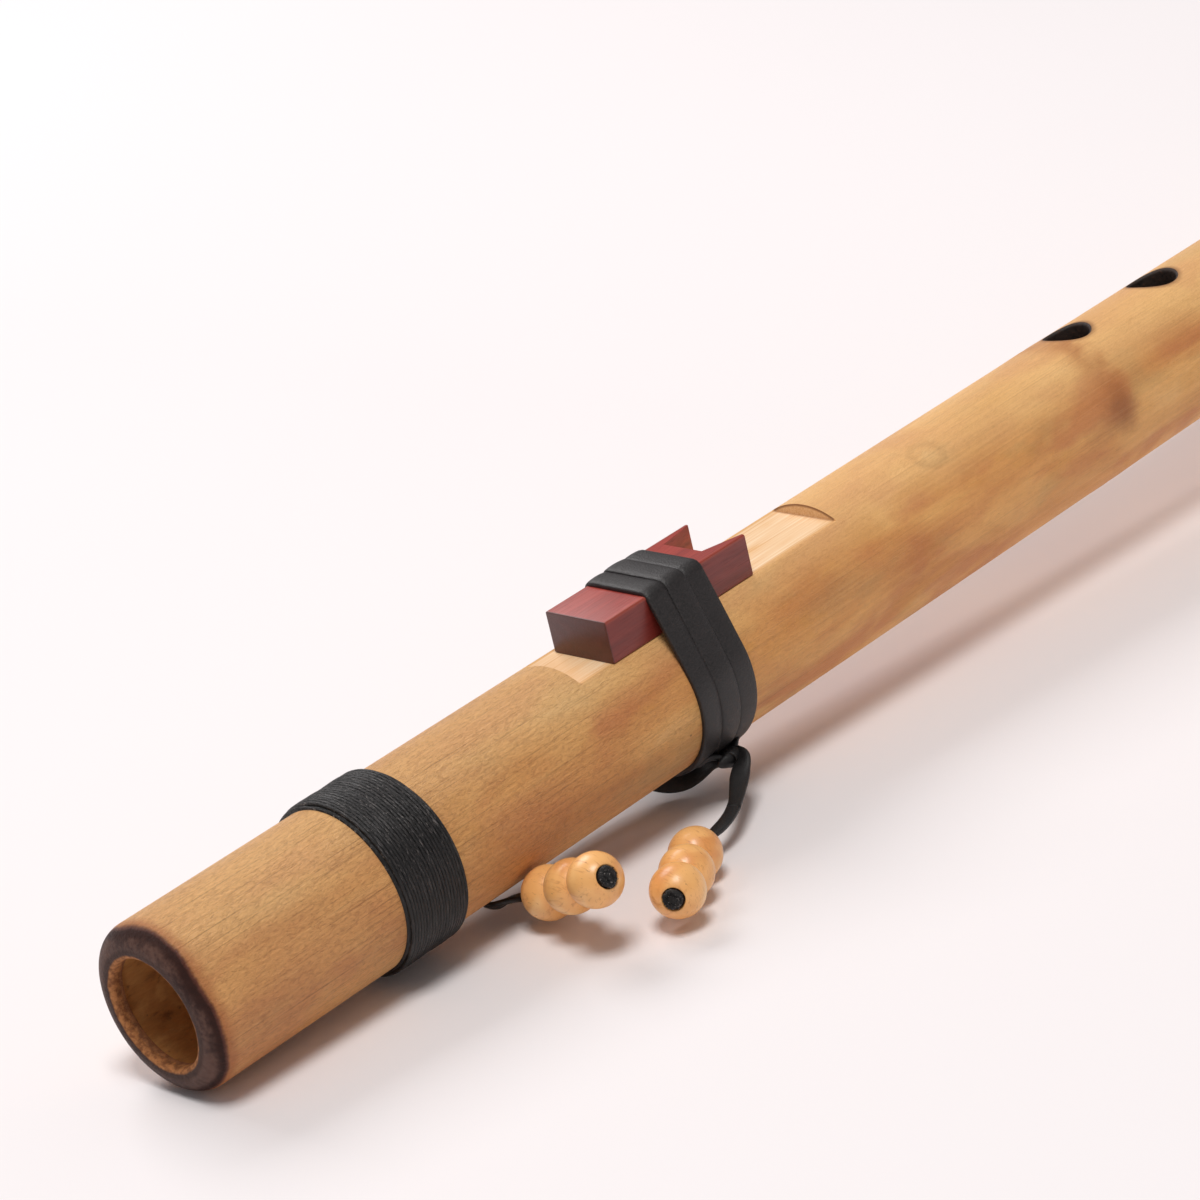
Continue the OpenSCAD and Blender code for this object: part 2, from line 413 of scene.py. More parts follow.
def bamboo_skin_material():
    """Sanded and oiled bamboo: golden tan with clouds, fine fibres, brown node rings and a scorched mouth end."""
    looks = Looks("bamboo_skin")
    surface, x, radius = around_tube(looks)
    place = looks.place

    clouds = looks.noise(place, (0.028, 0.075, 0.075), 3.0, 0.5, 0.4)
    colour = looks.ramp(clouds, [
        (0.32, srgb(212, 140, 78)), (0.46, srgb(228, 162, 94)), (0.58, srgb(240, 180, 108)), (0.74, srgb(247, 196, 128))])
    green = looks.noise(place, (0.045, 0.10, 0.10), 3.0, 0.55, 0.5, seed=4.0)
    colour = looks.mix(looks.step(green, 0.50, 0.70, 0.0, 0.4), colour, srgb(186, 152, 98))
    warm = looks.noise(place, (0.04, 0.09, 0.09), 3.0, 0.5, 0.4, seed=9.0)
    colour = looks.mix(looks.step(warm, 0.48, 0.66, 0.0, 0.75), colour, srgb(206, 126, 76))
    gold = looks.noise(place, (0.05, 0.11, 0.11), 3.0, 0.5, 0.4, seed=12.0)
    colour = looks.mix(looks.step(gold, 0.54, 0.72, 0.0, 0.5), colour, srgb(222, 156, 70))

    stains = [
        (at_angle(20, -84), (22, 9), srgb(190, 120, 78), 0.4),
        (at_angle(44, -108), (18, 8), srgb(172, 110, 72), 0.4),
        (at_angle(176, -46), (7, 6), srgb(204, 130, 56), 0.5),
        (at_angle(182, -82), (20, 8), srgb(184, 112, 62), 0.45),
        (at_angle(162, -74), (16, 6), srgb(160, 124, 84), 0.35),
        (at_angle(98, -30), (14, 8), srgb(190, 158, 104), 0.4),
        (at_angle(188, 18), (16, 8), srgb(226, 158, 70), 0.5),
        (at_angle(222, -16), (22, 8), srgb(214, 150, 64), 0.45),
        (at_angle(244, -84), (9, 4), srgb(164, 104, 62), 0.4),
        (at_angle(22, -58), (16, 6), srgb(190, 114, 68), 0.5),
        (at_angle(30, -22), (12, 5), srgb(204, 130, 78), 0.4),
        (at_angle(10, -95), (12, 6), srgb(194, 120, 70), 0.45),
        (at_angle(38, -76), (10, 5), srgb(194, 118, 72), 0.45),
        (at_angle(78, -52), (16, 7), srgb(226, 146, 62), 0.45),
        (at_angle(74, -84), (18, 7), srgb(196, 116, 74), 0.45),
        (at_angle(9.8, -7), (0.45, 0.4), srgb(120, 74, 42), 0.8),
        (at_angle(117.3, -103), (0.4, 0.4), srgb(104, 62, 36), 0.8),
        (at_angle(202, -26), (2.4, 2.4), srgb(236, 196, 136), 0.4),
    ]
    edge_noise = looks.noise(place, (0.25, 0.4, 0.4), 3.0, 0.6, seed=2.0)
    wavy = looks.vector("ADD", surface, looks.join(
        looks.math("MULTIPLY", looks.math("SUBTRACT", edge_noise, 0.5), 6.0),
        looks.math("MULTIPLY", looks.math("SUBTRACT", edge_noise, 0.5), -4.0), 0.0))
    for centre, size, tint, strength in stains:
        inside = looks.spot(wavy if size[0] > 2 else surface, centre, size, 0.0)
        colour = looks.mix(looks.math("MULTIPLY", inside, strength), colour, tint)

    # painted highlight: paler along the top, where the light from above falls
    x_only, y_only, z_only = looks.split(place)
    painted_top_highlight = looks.step(z_only, 7.0, 14.5, 0.0, 0.52)
    colour = looks.mix(painted_top_highlight, colour, srgb(252, 206, 142))

    # a faint round scar where a twig was taken off
    twig = looks.vector("LENGTH", looks.vector("SUBTRACT", wavy, at_angle(202, -26)), out=1)
    ring = looks.math("ABSOLUTE", looks.math("SUBTRACT", twig, 3.4))
    colour = looks.mix(looks.step(ring, 1.6, 0.1, 0.0, 0.2), colour, srgb(168, 118, 72))

    # a soft brown band round each natural node, darker in one place
    line_noise = looks.noise(place, (0.12, 0.16, 0.16), 3.0, 0.5, seed=5.0)
    shift = looks.math("MULTIPLY", looks.math("SUBTRACT", line_noise, 0.5), 9.0)
    along = looks.math("ADD", looks.math("SUBTRACT", x, 2 * NODE_PITCH / MM), shift)
    from_node = looks.math("PINGPONG", along, NODE_PITCH / 2 / MM)
    past_first = looks.math("GREATER_THAN", x, 1.6 * NODE_PITCH / MM)
    faded = looks.math("MULTIPLY", past_first, looks.step(line_noise, 0.34, 0.62, 1.0, 0.45))
    low_side = looks.step(looks.split(surface)[1], -27.0, -20.0)
    faded = looks.math("MULTIPLY", faded, low_side)
    halo = looks.math("MULTIPLY", looks.step(from_node, 7.5, 0.3, 0.0, 0.68), faded)
    colour = looks.mix(halo, colour, srgb(184, 110, 58))
    scar = looks.math("MULTIPLY", looks.step(from_node, 3.4, 0.2, 0.0, 0.12), faded)
    colour = looks.mix(scar, colour, srgb(146, 88, 48))
    smudge = looks.spot(wavy, at_angle(252, -80), (8.0, 6.8), 0.0)
    colour = looks.mix(looks.math("MULTIPLY", smudge, 0.75), colour, srgb(146, 84, 46))

    # lighter and warmer towards the mouth
    colour = looks.mix(looks.step(x, 130.0, 40.0, 0.0, 0.36), colour, srgb(255, 192, 126))

    # fibres: faint long lines, and short dark flecks in drifts
    lines = looks.noise(place, (0.035, 2.2, 2.2), 2.0, 0.5, 0.15, seed=1.0)
    colour = looks.mix(looks.step(lines, 0.60, 0.40, 0.0, 0.07), colour, srgb(132, 86, 46))
    colour = looks.mix(looks.step(lines, 0.54, 0.70, 0.0, 0.07), colour, srgb(250, 214, 150))
    flecks = looks.noise(place, (0.42, 3.0, 3.0), 5.0, 0.7, 1.2, seed=3.0)
    drifts = looks.step(looks.noise(place, (0.05, 0.12, 0.12), 2.0, seed=6.0), 0.38, 0.62, 0.25, 1.0)
    dark = looks.math("MULTIPLY", looks.step(flecks, 0.52, 0.74, 0.0, 0.32), drifts)
    colour = looks.mix(dark, colour, srgb(138, 84, 44))
    # the skin is wrinkled near the mouth, smoother and paler away from it
    fine = looks.step(x, 60.0, 190.0, 1.0, 0.35)
    wrinkles = looks.noise(place, (0.7, 1.7, 1.7), 7.0, 0.76, 0.6, seed=15.0)
    creased = looks.math("MULTIPLY", looks.step(wrinkles, 0.46, 0.62, 0.0, 0.32), fine)
    colour = looks.mix(creased, colour, srgb(146, 82, 44))
    threads = looks.noise(place, (0.03, 3.4, 3.4), 2.0, 0.5, 0.3, seed=17.0)
    colour = looks.mix(looks.math("MULTIPLY", looks.step(threads, 0.58, 0.68, 0.0, 0.38), fine), colour, srgb(128, 78, 42))
    colour = looks.mix(looks.math("MULTIPLY", looks.math("SUBTRACT", 1.0, fine), 0.08), colour, srgb(238, 186, 118))

    # burnt edges of the finger holes
    near_hole = looks.math("ADD", hole_distance(looks, surface), looks.math("MULTIPLY", line_noise, -1.0))
    colour = looks.mix(looks.step(near_hole, 1.6, -0.4, 0.0, 0.75), colour, srgb(112, 62, 34))
    colour = looks.mix(looks.step(near_hole, 0.35, -0.6, 0.0, 1.0), colour, srgb(38, 24, 18))

    # scorched mouth end: brown, then dark red, then grey-brown on the face, and a bare lip inside
    burn_noise = looks.noise(place, (0.075, 0.075, 0.075), 2.0, 0.5, seed=8.0)
    grit = looks.noise(place, (0.9, 0.9, 0.9), 3.0, 0.6, seed=13.0)
    uneven = looks.math("ADD", looks.math("MULTIPLY", looks.math("SUBTRACT", burn_noise, 0.5), -3.4),
                        looks.math("MULTIPLY", looks.math("SUBTRACT", grit, 0.5), -0.7))
    burn = looks.math("ADD", x, uneven)
    colour = looks.mix(looks.step(burn, 5.4, 2.6, 0.0, 0.6), colour, srgb(172, 92, 46))
    colour = looks.mix(looks.step(burn, 2.9, 2.1, 0.0, 0.95), colour, srgb(84, 34, 21))
    soot = looks.ramp(looks.math("MULTIPLY", looks.math("ADD", burn_noise, grit), 0.5), [
        (0.36, srgb(60, 40, 36)), (0.62, srgb(104, 76, 66))])
    edge_soot = looks.mix(grit, srgb(38, 22, 20), srgb(66, 36, 28))
    soot = looks.mix(looks.step(burn, 0.25, 1.3), soot, edge_soot)
    soot = looks.mix(looks.step(radius, 12.7, 11.9, 0.0, 0.75), soot, srgb(60, 35, 26))
    charred = looks.step(burn, 2.2, 1.7)
    colour = looks.mix(charred, colour, soot)
    lip_noise = looks.math("MULTIPLY", looks.math("SUBTRACT", edge_noise, 0.5), 0.9)
    lip = looks.math("MULTIPLY", looks.step(looks.math("ADD", radius, lip_noise), 11.4, 11.0),
                     looks.math("LESS_THAN", x, 20.0))
    bare = looks.mix(looks.step(grit, 0.36, 0.64), srgb(134, 86, 54), srgb(190, 128, 80))
    colour = looks.mix(lip, colour, bare)
    # painted shade: the bare lip darkens inwards towards the undercut behind it
    colour = looks.mix(looks.math("MULTIPLY", lip, looks.step(x, 1.4, 2.6, 0.0, 0.8)), colour, srgb(146, 90, 52))

    rough = looks.math("ADD", looks.step(flecks, 0.4, 0.75, 0.44, 0.6), looks.math("MULTIPLY", lip, 0.2))
    height = looks.math("ADD", looks.math("MULTIPLY", lines, 0.4), looks.math("MULTIPLY", flecks, 0.3))
    height = looks.math("SUBTRACT", height, looks.math("MULTIPLY", wrinkles, 1.5))
    height = looks.math("MULTIPLY", looks.math("MULTIPLY", height, fine), looks.step(burn, 0.8, 2.6, 0.4, 1.0))
    shine = looks.math("SUBTRACT", 0.38, looks.math("MULTIPLY", charred, 0.26))
    return looks.finish(colour, rough, height, 0.40, Specular_IOR_Level=shine, Coat_Weight=0.03, Coat_Roughness=0.35)


def bore_material():
    """Inside of the bamboo: mottled brown pith with dark flecks."""
    looks = Looks("bamboo_bore")
    mottle = looks.noise(looks.place, (0.16, 0.35, 0.35), 4.0, 0.6, 0.3)
    colour = looks.ramp(mottle, [
        (0.32, srgb(146, 92, 46)), (0.5, srgb(198, 138, 76)), (0.7, srgb(224, 168, 102))])
    spots = looks.noise(looks.place, (0.5, 0.8, 0.8), 2.0, 0.5, seed=3.0)
    colour = looks.mix(looks.step(spots, 0.62, 0.75, 0.0, 0.6), colour, srgb(82, 48, 22))
    grain = looks.noise(looks.place, (0.2, 2.0, 2.0), 3.0, seed=5.0)
    return looks.finish(colour, looks.step(grain, 0.3, 0.7, 0.55, 0.75), grain, 0.15)


def cut_wood_material():
    """Freshly cut bamboo of the nest: pale, straight fibres, browner by the end wall."""
    looks = Looks("cut_bamboo")
    x, y, z = looks.split(looks.place)
    fibre = looks.noise(looks.place, (0.03, 1.6, 1.6), 4.0, 0.6)
    colour = looks.ramp(fibre, [
        (0.30, srgb(222, 170, 116)), (0.48, srgb(242, 202, 156)), (0.70, srgb(251, 224, 188))])
    cloud = looks.noise(looks.place, (0.08, 0.2, 0.2), 2.0, seed=3.0)
    colour = looks.mix(looks.step(cloud, 0.5, 0.75, 0.0, 0.4), colour, srgb(232, 176, 108))
    # a little browner in front of the block
    colour = looks.mix(looks.step(x, block_low.x / MM + 1, NEST_START / MM + 2, 0.0, 0.35), colour, srgb(220, 162, 100))
    # golden along the two long borders, brown at the step at its far end and fine at the near one
    border = looks.step(looks.math("ABSOLUTE", y), 6.9, 8.2, 0.0, 0.85)
    colour = looks.mix(border, colour, srgb(214, 154, 76))
    colour = looks.mix(looks.step(x, NEST_END / MM - 0.8, NEST_END / MM - 0.05, 0.0, 0.6), colour, srgb(150, 92, 48))
    colour = looks.mix(looks.step(x, NEST_START / MM + 0.7, NEST_START / MM, 0.0, 0.6), colour, srgb(150, 96, 50))
    return looks.finish(colour, looks.step(fibre, 0.3, 0.7, 0.62, 0.5), fibre, 0.08)


def burnt_material():
    """Walls of the burnt-out holes: charcoal brown, rough."""
    looks = Looks("burnt_wall")
    char = looks.noise(looks.place, (1.2, 1.2, 1.2), 4.0, 0.65)
    colour = looks.ramp(char, [(0.3, srgb(20, 13, 10)), (0.55, srgb(44, 27, 18)), (0.8, srgb(86, 52, 32))])
    return looks.finish(colour, looks.step(char, 0.3, 0.7, 0.55, 0.8), char, 0.2)


def step_material():
    """Small end walls of the nest: cut across the fibres, darker along their top edge."""
    looks = Looks("cut_end")
    surface, x, radius = around_tube(looks)
    grain = looks.noise(looks.place, (1.5, 3.0, 3.0), 3.0, 0.6)
    colour = looks.ramp(grain, [(0.3, srgb(228, 178, 122)), (0.7, srgb(246, 206, 156))])
    colour = looks.mix(looks.step(radius, 15.3, 15.8, 0.0, 0.8), colour, srgb(132, 80, 44))
    return looks.finish(colour, 0.7, grain, 0.1)


def thread_material():
    """Waxed black thread, with painted grey sheen streaks along its turns and painted glints of fuzz, stronger on top.
    """
    looks = Looks("black_thread")
    surface, x, radius = around_tube(looks)
    sheen_streak = looks.noise(surface, (1.6, 0.28, 1.0), 3.0, 0.6, 0.5)
    strands = looks.noise(surface, (5.0, 1.1, 1.0), 3.0, 0.6, 0.3, seed=2.0)
    colour = looks.ramp(strands, [(0.3, srgb(4, 3, 3)), (0.55, srgb(11, 9, 9)), (0.8, srgb(40, 36, 35))])
    # painted sheen: grey streaks along the turns
    colour = looks.mix(looks.step(sheen_streak, 0.55, 0.72, 0.0, 0.4), colour, srgb(84, 78, 76))
    # painted highlight: pale glints of fuzz, stronger on top where the light falls
    painted_fuzz_glint = looks.noise(surface, (3.2, 0.5, 1.0), 3.0, 0.7, 2.0, seed=4.0)
    on_top = looks.step(looks.split(looks.place)[2], -2.0, 15.0, 0.08, 0.8)
    colour = looks.mix(looks.math("MULTIPLY", looks.step(painted_fuzz_glint, 0.55, 0.68), on_top), colour, srgb(132, 125, 122))
    rough = looks.step(sheen_streak, 0.35, 0.7, 0.58, 0.40)
    return looks.finish(colour, rough, strands, 0.22, Specular_IOR_Level=0.55)


def leather_material(name, dark, light, scale, rough):
    """Matte black leather: fine pores, worn paler in places."""
    looks = Looks(name)
    pores = looks.cells(looks.place, (scale, scale, scale))
    grain = looks.noise(looks.place, (scale * 0.9,) * 3, 4.0, 0.6)
    wear = looks.noise(looks.place, (0.22, 0.22, 0.22), 3.0, 0.55, seed=2.0)
    colour = looks.mix(looks.step(grain, 0.3, 0.75), dark, light)
    colour = looks.mix(looks.step(wear, 0.5, 0.8, 0.0, 0.5), colour, light)
    height = looks.math("ADD", looks.math("MULTIPLY", pores, 0.5), looks.math("MULTIPLY", grain, 0.6))
    roughness = looks.step(grain, 0.3, 0.7, rough - 0.08, rough + 0.1)
    return looks.finish(colour, roughness, height, 0.10, Specular_IOR_Level=0.62)


def red_wood_material():
    """Oiled dark red hardwood, its grain along the tube."""
    looks = Looks("red_wood")
    place = looks.place
    bands = looks.noise(place, (0.02, 0.5, 0.4), 4.0, 0.55, 1.0)
    colour = looks.ramp(bands, [
        (0.30, srgb(126, 36, 28)), (0.46, srgb(152, 48, 38)), (0.60, srgb(168, 58, 46)), (0.80, srgb(186, 74, 56))])
    pores = looks.noise(place, (0.22, 4.5, 4.5), 3.0, 0.6, seed=2.0)
    colour = looks.mix(looks.step(pores, 0.56, 0.72, 0.0, 0.5), colour, srgb(64, 20, 18))
    x, y, z = looks.split(place)
    # paler and redder along the top long edges, partly from wear and partly a painted highlight where the rounded edges
    # catch the light; browner at the sawn front end
    centre_y = (block_low.y + block_high.y) / 2 / MM
    side = looks.math("ABSOLUTE", looks.math("SUBTRACT", y, centre_y))
    half = (block_high.y - block_low.y) / 2 / MM
    on_side = looks.step(side, half - 0.9, half - 0.2)
    on_top = looks.step(z, block_high.z / MM - 0.8, block_high.z / MM - 0.2)
    painted_top_highlight = looks.math("MULTIPLY", on_side, on_top)
    colour = looks.mix(looks.math("MULTIPLY", painted_top_highlight, 0.8), colour, srgb(216, 88, 60))
    front = looks.step(x, block_low.x / MM + 0.35, block_low.x / MM + 0.05, 0.0, 0.85)
    colour = looks.mix(front, colour, srgb(60, 32, 28))
    # painted shade: the long sides darker than the top
    colour = looks.mix(looks.math("MULTIPLY", on_side, 0.6), colour, srgb(84, 28, 24))
    height = looks.math("SUBTRACT", bands, looks.math("MULTIPLY", pores, 0.6))
    return looks.finish(colour, looks.step(pores, 0.35, 0.7, 0.36, 0.52), height, 0.06, Specular_IOR_Level=0.5, Coat_Weight=0.22, Coat_Roughness=0.28)


def bead_material():
    """Pale polished wood with fine rings across the hole and a few brown flecks. Each bead has its own seed."""
    looks = Looks("bead_wood")
    own = looks.tree.nodes.new("ShaderNodeAttribute")
    own.attribute_name = "grain_seed"
    seed = own.outputs["Fac"]
    cloud = looks.noise(looks.place, (0.10, 0.16, 0.10), 3.0, 0.5, 0.5, seed=seed)
    colour = looks.ramp(cloud, [
        (0.30, srgb(232, 158, 90)), (0.5, srgb(250, 188, 116)), (0.72, srgb(255, 210, 146))])
    rings = looks.noise(looks.place, (1.8, 0.25, 0.9), 4.0, 0.6, 0.8, seed=seed)
    colour = looks.mix(looks.step(rings, 0.52, 0.70, 0.0, 0.5), colour, srgb(196, 124, 66))
    flecks = looks.noise(looks.place, (3.4, 0.8, 1.6), 3.0, 0.6, seed=seed)
    colour = looks.mix(looks.step(flecks, 0.63, 0.74, 0.0, 0.6), colour, srgb(146, 84, 44))
    rough = looks.step(flecks, 0.45, 0.7, 0.34, 0.46)
    return looks.finish(colour, rough, rings, 0.03, Coat_Weight=0.25, Coat_Roughness=0.22)


def frayed_material():
    """Cut end of the black lace: dull fibres with grey tips."""
    looks = Looks("frayed_lace")
    fibre = looks.noise(looks.place, (3.0, 3.0, 3.0), 3.0, 0.6)
    colour = looks.ramp(fibre, [(0.36, srgb(5, 4, 4)), (0.52, srgb(18, 16, 16)), (0.62, srgb(52, 48, 47)), (0.70, srgb(190, 182, 176))])
    return looks.finish(colour, 0.7, fibre, 0.2)


def floor_material():
    """Plain pale paper."""
    looks = Looks("pale_floor")
    cloud = looks.noise(looks.place, (0.002, 0.002, 0.002), 2.0)
    colour = looks.mix(cloud, srgb(243, 238, 239), srgb(247, 243, 244))
    return looks.finish(colour, 0.85, Specular_IOR_Level=0.1)


# ---------------------------------------------------------------- bamboo tube


def skin_columns():
    """Angles of the tube's columns, with close ones at the nest's two borders."""
    even = np.radians(np.arange(-180, 180, 2.25))
    border = math.acos(NEST_Z / TUBE_R)
    extra = [side * (border + d) for side in (-1, 1) for d in np.radians([-0.9, -0.3, 0.3, 0.9])]
    kept = [a for a in even if min(abs(abs(a) - border), 9) > math.radians(1.2)]
    return np.sort(np.array(kept + extra))


def skin_radius(x, angles, random_waves):
    """The outside of the tube: a slow uneven swell, fuller at the nodes, with a sanded line on each."""
    r = np.full_like(angles, TUBE_R)
    for turns, along, size, phase in random_waves:
        r = r + size * np.cos(turns * angles + along * x + phase)
    for node in (2 * NODE_PITCH, 3 * NODE_PITCH):
        away = (x - node) / MM
        swell = 0.10 * math.exp(-(away / 6) ** 2) - 0.05 * math.exp(-(away / 1.1) ** 2)
        r = r + swell * MM
    return r


def skin_stops():
    """Places along the tube where it has a ring of points."""
    stops = list(np.arange(RIM_ROUND + 1.5 * MM, TUBE_LEN - FOOT_ROUND - 1 * MM, 1.65 * MM))
    for node in (2 * NODE_PITCH, 3 * NODE_PITCH):
        stops += [node + d * MM for d in (-1.1, -0.75, -0.4, 0.0, 0.4, 0.75, 1.1)]
    for edge in (NEST_START, NEST_END):
        stops = [x for x in stops if abs(x - edge) > 0.5 * MM]
        stops += [edge + d * MM for d in (-0.32, -0.04, 0.04, 0.32)]
    return sorted(stops)


def tube_rings(angles, random):
    """Rings of the tube's closed section, from the wall between the chambers round by the mouth to the foot and back."""
    waves = [(k, random.uniform(-25, 25), random.uniform(0.01, 0.035) * MM, random.uniform(0, 6.3))
             for k in (0, 1, 2, 2, 3, 3, 5)]
    bore_waves = [(k, random.uniform(-60, 60), random.uniform(0.02, 0.05) * MM, random.uniform(0, 6.3))
                  for k in (1, 2, 3, 5, 7)]
    rings, kinds = [], []

    def add(x, r, kind):
        rings.append(np.stack([np.full_like(angles, x), r * np.sin(angles), r * np.cos(angles)], 1))
        kinds.append(kind)

    def bore(x):
        r = np.full_like(angles, BORE_R)
        for turns, along, size, phase in bore_waves:
            r = r + size * np.cos(turns * angles + along * x + phase)
        return r

    wall = NODE_PITCH - NODE_WALL / 2
    for r in (0.4, 3, 6, 9, 11):
        add(wall - 0.3 * MM * (1 - r / 12), np.full_like(angles, r * MM), "bore")
    add(wall - 0.3 * MM, bore(wall) - 0.35 * MM, "bore")
    for x in np.arange(wall - 1.2 * MM, LIP_LEN + 1 * MM, -2.6 * MM):
        add(x, bore(x), "bore")
    add(LIP_LEN + 0.5 * MM, bore(LIP_LEN), "bore")
    add(LIP_LEN + 0.05 * MM, bore(LIP_LEN) - 0.25 * MM, "bore")
    ragged = ripple(random, len(angles), 12) * 0.07 * MM
    add(LIP_LEN, MOUTH_R + 0.45 * MM + ragged, "skin")
    add(LIP_LEN - 0.25 * MM, MOUTH_R + 0.05 * MM + ragged, "skin")
    add(LIP_LEN - 0.9 * MM, MOUTH_R + ragged * 0.6, "skin")
    for turn in np.radians([0, 18, 36, 54, 72, 90]):
        x = LIP_ROUND * (1 - math.sin(turn))
        add(x, MOUTH_R + LIP_ROUND * (1 - math.cos(turn)) + ragged * 0.3, "skin")
    for turn in np.radians(np.arange(0, 90.1, 7.5)):
        x = RIM_ROUND * (1 - math.cos(turn))
        add(x, skin_radius(x, angles, waves) - RIM_ROUND * (1 - math.sin(turn)), "skin")
    for x in skin_stops():
        r = skin_radius(x, angles, waves)
        if NEST_START < x < NEST_END:
            facing_up = np.cos(angles) > 0.3
            flat = NEST_Z / np.where(facing_up, np.cos(angles), 1)
            r = np.where(facing_up, np.minimum(r, flat), r)
        add(x, r, "skin")
    for turn in np.radians(np.arange(0, 90.1, 18)):
        x = TUBE_LEN - FOOT_ROUND * (1 - math.sin(turn))
        add(x, skin_radius(x, angles, waves) - FOOT_ROUND * (1 - math.cos(turn)), "skin")
    add(TUBE_LEN, bore(TUBE_LEN) + 0.5 * MM, "skin")
    for x in np.concatenate([TUBE_LEN - np.array([0.15, 0.6, 2.0]) * MM,
                             np.arange(TUBE_LEN - 5 * MM, wall + NODE_WALL + 1.5 * MM, -3.2 * MM)]):
        add(x, bore(x), "bore")
    add(wall + NODE_WALL + 0.2 * MM, bore(wall) - 0.35 * MM, "bore")
    for r in (11, 9, 6, 3, 0.4):
        add(wall + NODE_WALL, np.full_like(angles, r * MM), "bore")
    return rings, kinds


def tube_body(random, materials):
    """The tube before its holes are cut."""
    angles = skin_columns()
    rings, kinds = tube_rings(angles, random)
    points, faces = capped_rings(rings)
    places = np.asarray(points)
    slots = []
    quads = (len(rings) - 1) * len(angles)
    for i, face in enumerate(faces):
        row = min(i // len(angles), len(kinds) - 2)
        if i >= quads or kinds[row] == "bore" or kinds[row + 1] == "bore":
            slots.append(1)
            continue
        corners = places[list(face)]
        middle = corners.mean(0)
        reach = corners[:, 0].max() - corners[:, 0].min()
        inside = NEST_START - 0.1 * MM < middle[0] < NEST_END + 0.1 * MM
        flat = inside and middle[2] > 0 and np.hypot(middle[1], middle[2]) < TUBE_R - 0.16 * MM
        wall = flat and reach < 0.12 * MM
        slots.append(4 if wall else 2 if flat else 0)
    return new_piece("bamboo_tube_body", points, faces, materials, slots)


def flue_cutter():
    """The vent, the flue and the sound hole as one cutting block."""
    deep = 5 * MM
    floor = NEST_Z - FLUE_DEPTH
    top = TUBE_R
    sound_end = SOUND_HOLE_X + SOUND_HOLE_LEN
    outline = [(VENT_X, deep), (VENT_X + VENT_LEN, deep), (VENT_X + VENT_LEN, floor), (SOUND_HOLE_X, floor),
               (SOUND_HOLE_X, deep), (sound_end, deep), (sound_end, top), (VENT_X, top)]
    half = FLUE_WIDTH / 2
    count = len(outline)
    points = [(x, side * half, z) for side in (-1, 1) for x, z in outline]
    faces = [tuple(range(count)), tuple(range(2 * count - 1, count - 1, -1))]
    faces += [(i, count + i, count + (i + 1) % count, (i + 1) % count) for i in range(count)]
    return points, faces


def finger_hole_cutter(i, random):
    """A cutter that rounds the hole's edge where it meets the skin, a little uneven like a burnt hole."""
    radius = HOLE_DIAMETERS[i] / 2
    sides = 56
    turn = np.linspace(0, 2 * math.pi, sides, endpoint=False)
    uneven = ripple(random, sides, 5) * 0.10 * MM
    ease = 0.7 * MM
    across, up = np.array([0, math.cos(HOLE_TURN), -math.sin(HOLE_TURN)]), np.array([0, math.sin(HOLE_TURN), math.cos(HOLE_TURN)])

    def ring(out, below):
        r = radius + uneven + out
        skin = np.sqrt(TUBE_R**2 - (r * np.sin(turn)) ** 2)
        height = skin - below
        points = np.outer(r * np.sin(turn), across) + np.outer(height, up)
        points[:, 0] += hole_x(i) + r * np.cos(turn)
        return points

    rings = [ring(0, 8 * MM), ring(0, 3 * MM), ring(0, ease)]
    for bend in np.radians([15, 30, 45, 60, 72]):
        rings.append(ring(ease * (1 - math.cos(bend)), ease * (1 - math.sin(bend))))
    rings.append(ring(ease * 1.1, -0.3 * MM))
    rings.append(ring(ease * 1.1, -2 * MM))
    return capped_rings([r[::-1] for r in rings])


def recalculated(piece):
    """Turns all faces of a closed mesh outwards."""
    work = bmesh.new()
    work.from_mesh(piece.data)
    bmesh.ops.recalc_face_normals(work, faces=work.faces)
    work.to_mesh(piece.data)
    work.free()
    return piece


def bamboo_tube(random):
    """The tube with its holes cut by solid difference."""
    skin, burnt = bamboo_skin_material(), burnt_material()
    materials = [skin, bore_material(), cut_wood_material(), burnt, step_material()]
    body = recalculated(tube_body(random, materials))
    flue = recalculated(new_piece("cut_flue", *flue_cutter(), [materials[2]]))
    holes = joined([finger_hole_cutter(i, random) for i in range(len(HOLE_DIAMETERS))])
    burnt_holes = recalculated(new_piece("cut_holes", *holes, [burnt]))
    for cutter in (flue, burnt_holes):
        cut = body.modifiers.new(cutter.name, "BOOLEAN")
        cut.operation = "DIFFERENCE"
        cut.solver = "EXACT"
        cut.material_mode = "TRANSFER"
        cut.object = cutter
    graph = bpy.context.evaluated_depsgraph_get()
    mesh = bpy.data.meshes.new_from_object(body.evaluated_get(graph))
    mesh.name = "bamboo_tube_skin"
    for spare in (body, flue, burnt_holes):
        bpy.data.objects.remove(spare)
    mesh.polygons.foreach_set("use_smooth", np.ones(len(mesh.polygons), bool))
    mark_sharp(mesh, 32)
    piece = bpy.data.objects.new("bamboo_tube_skin", mesh)
    bpy.context.scene.collection.objects.link(piece)
    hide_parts("bamboo_tube")
    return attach(piece, "flute")


# ---------------------------------------------------------------- thread whipping


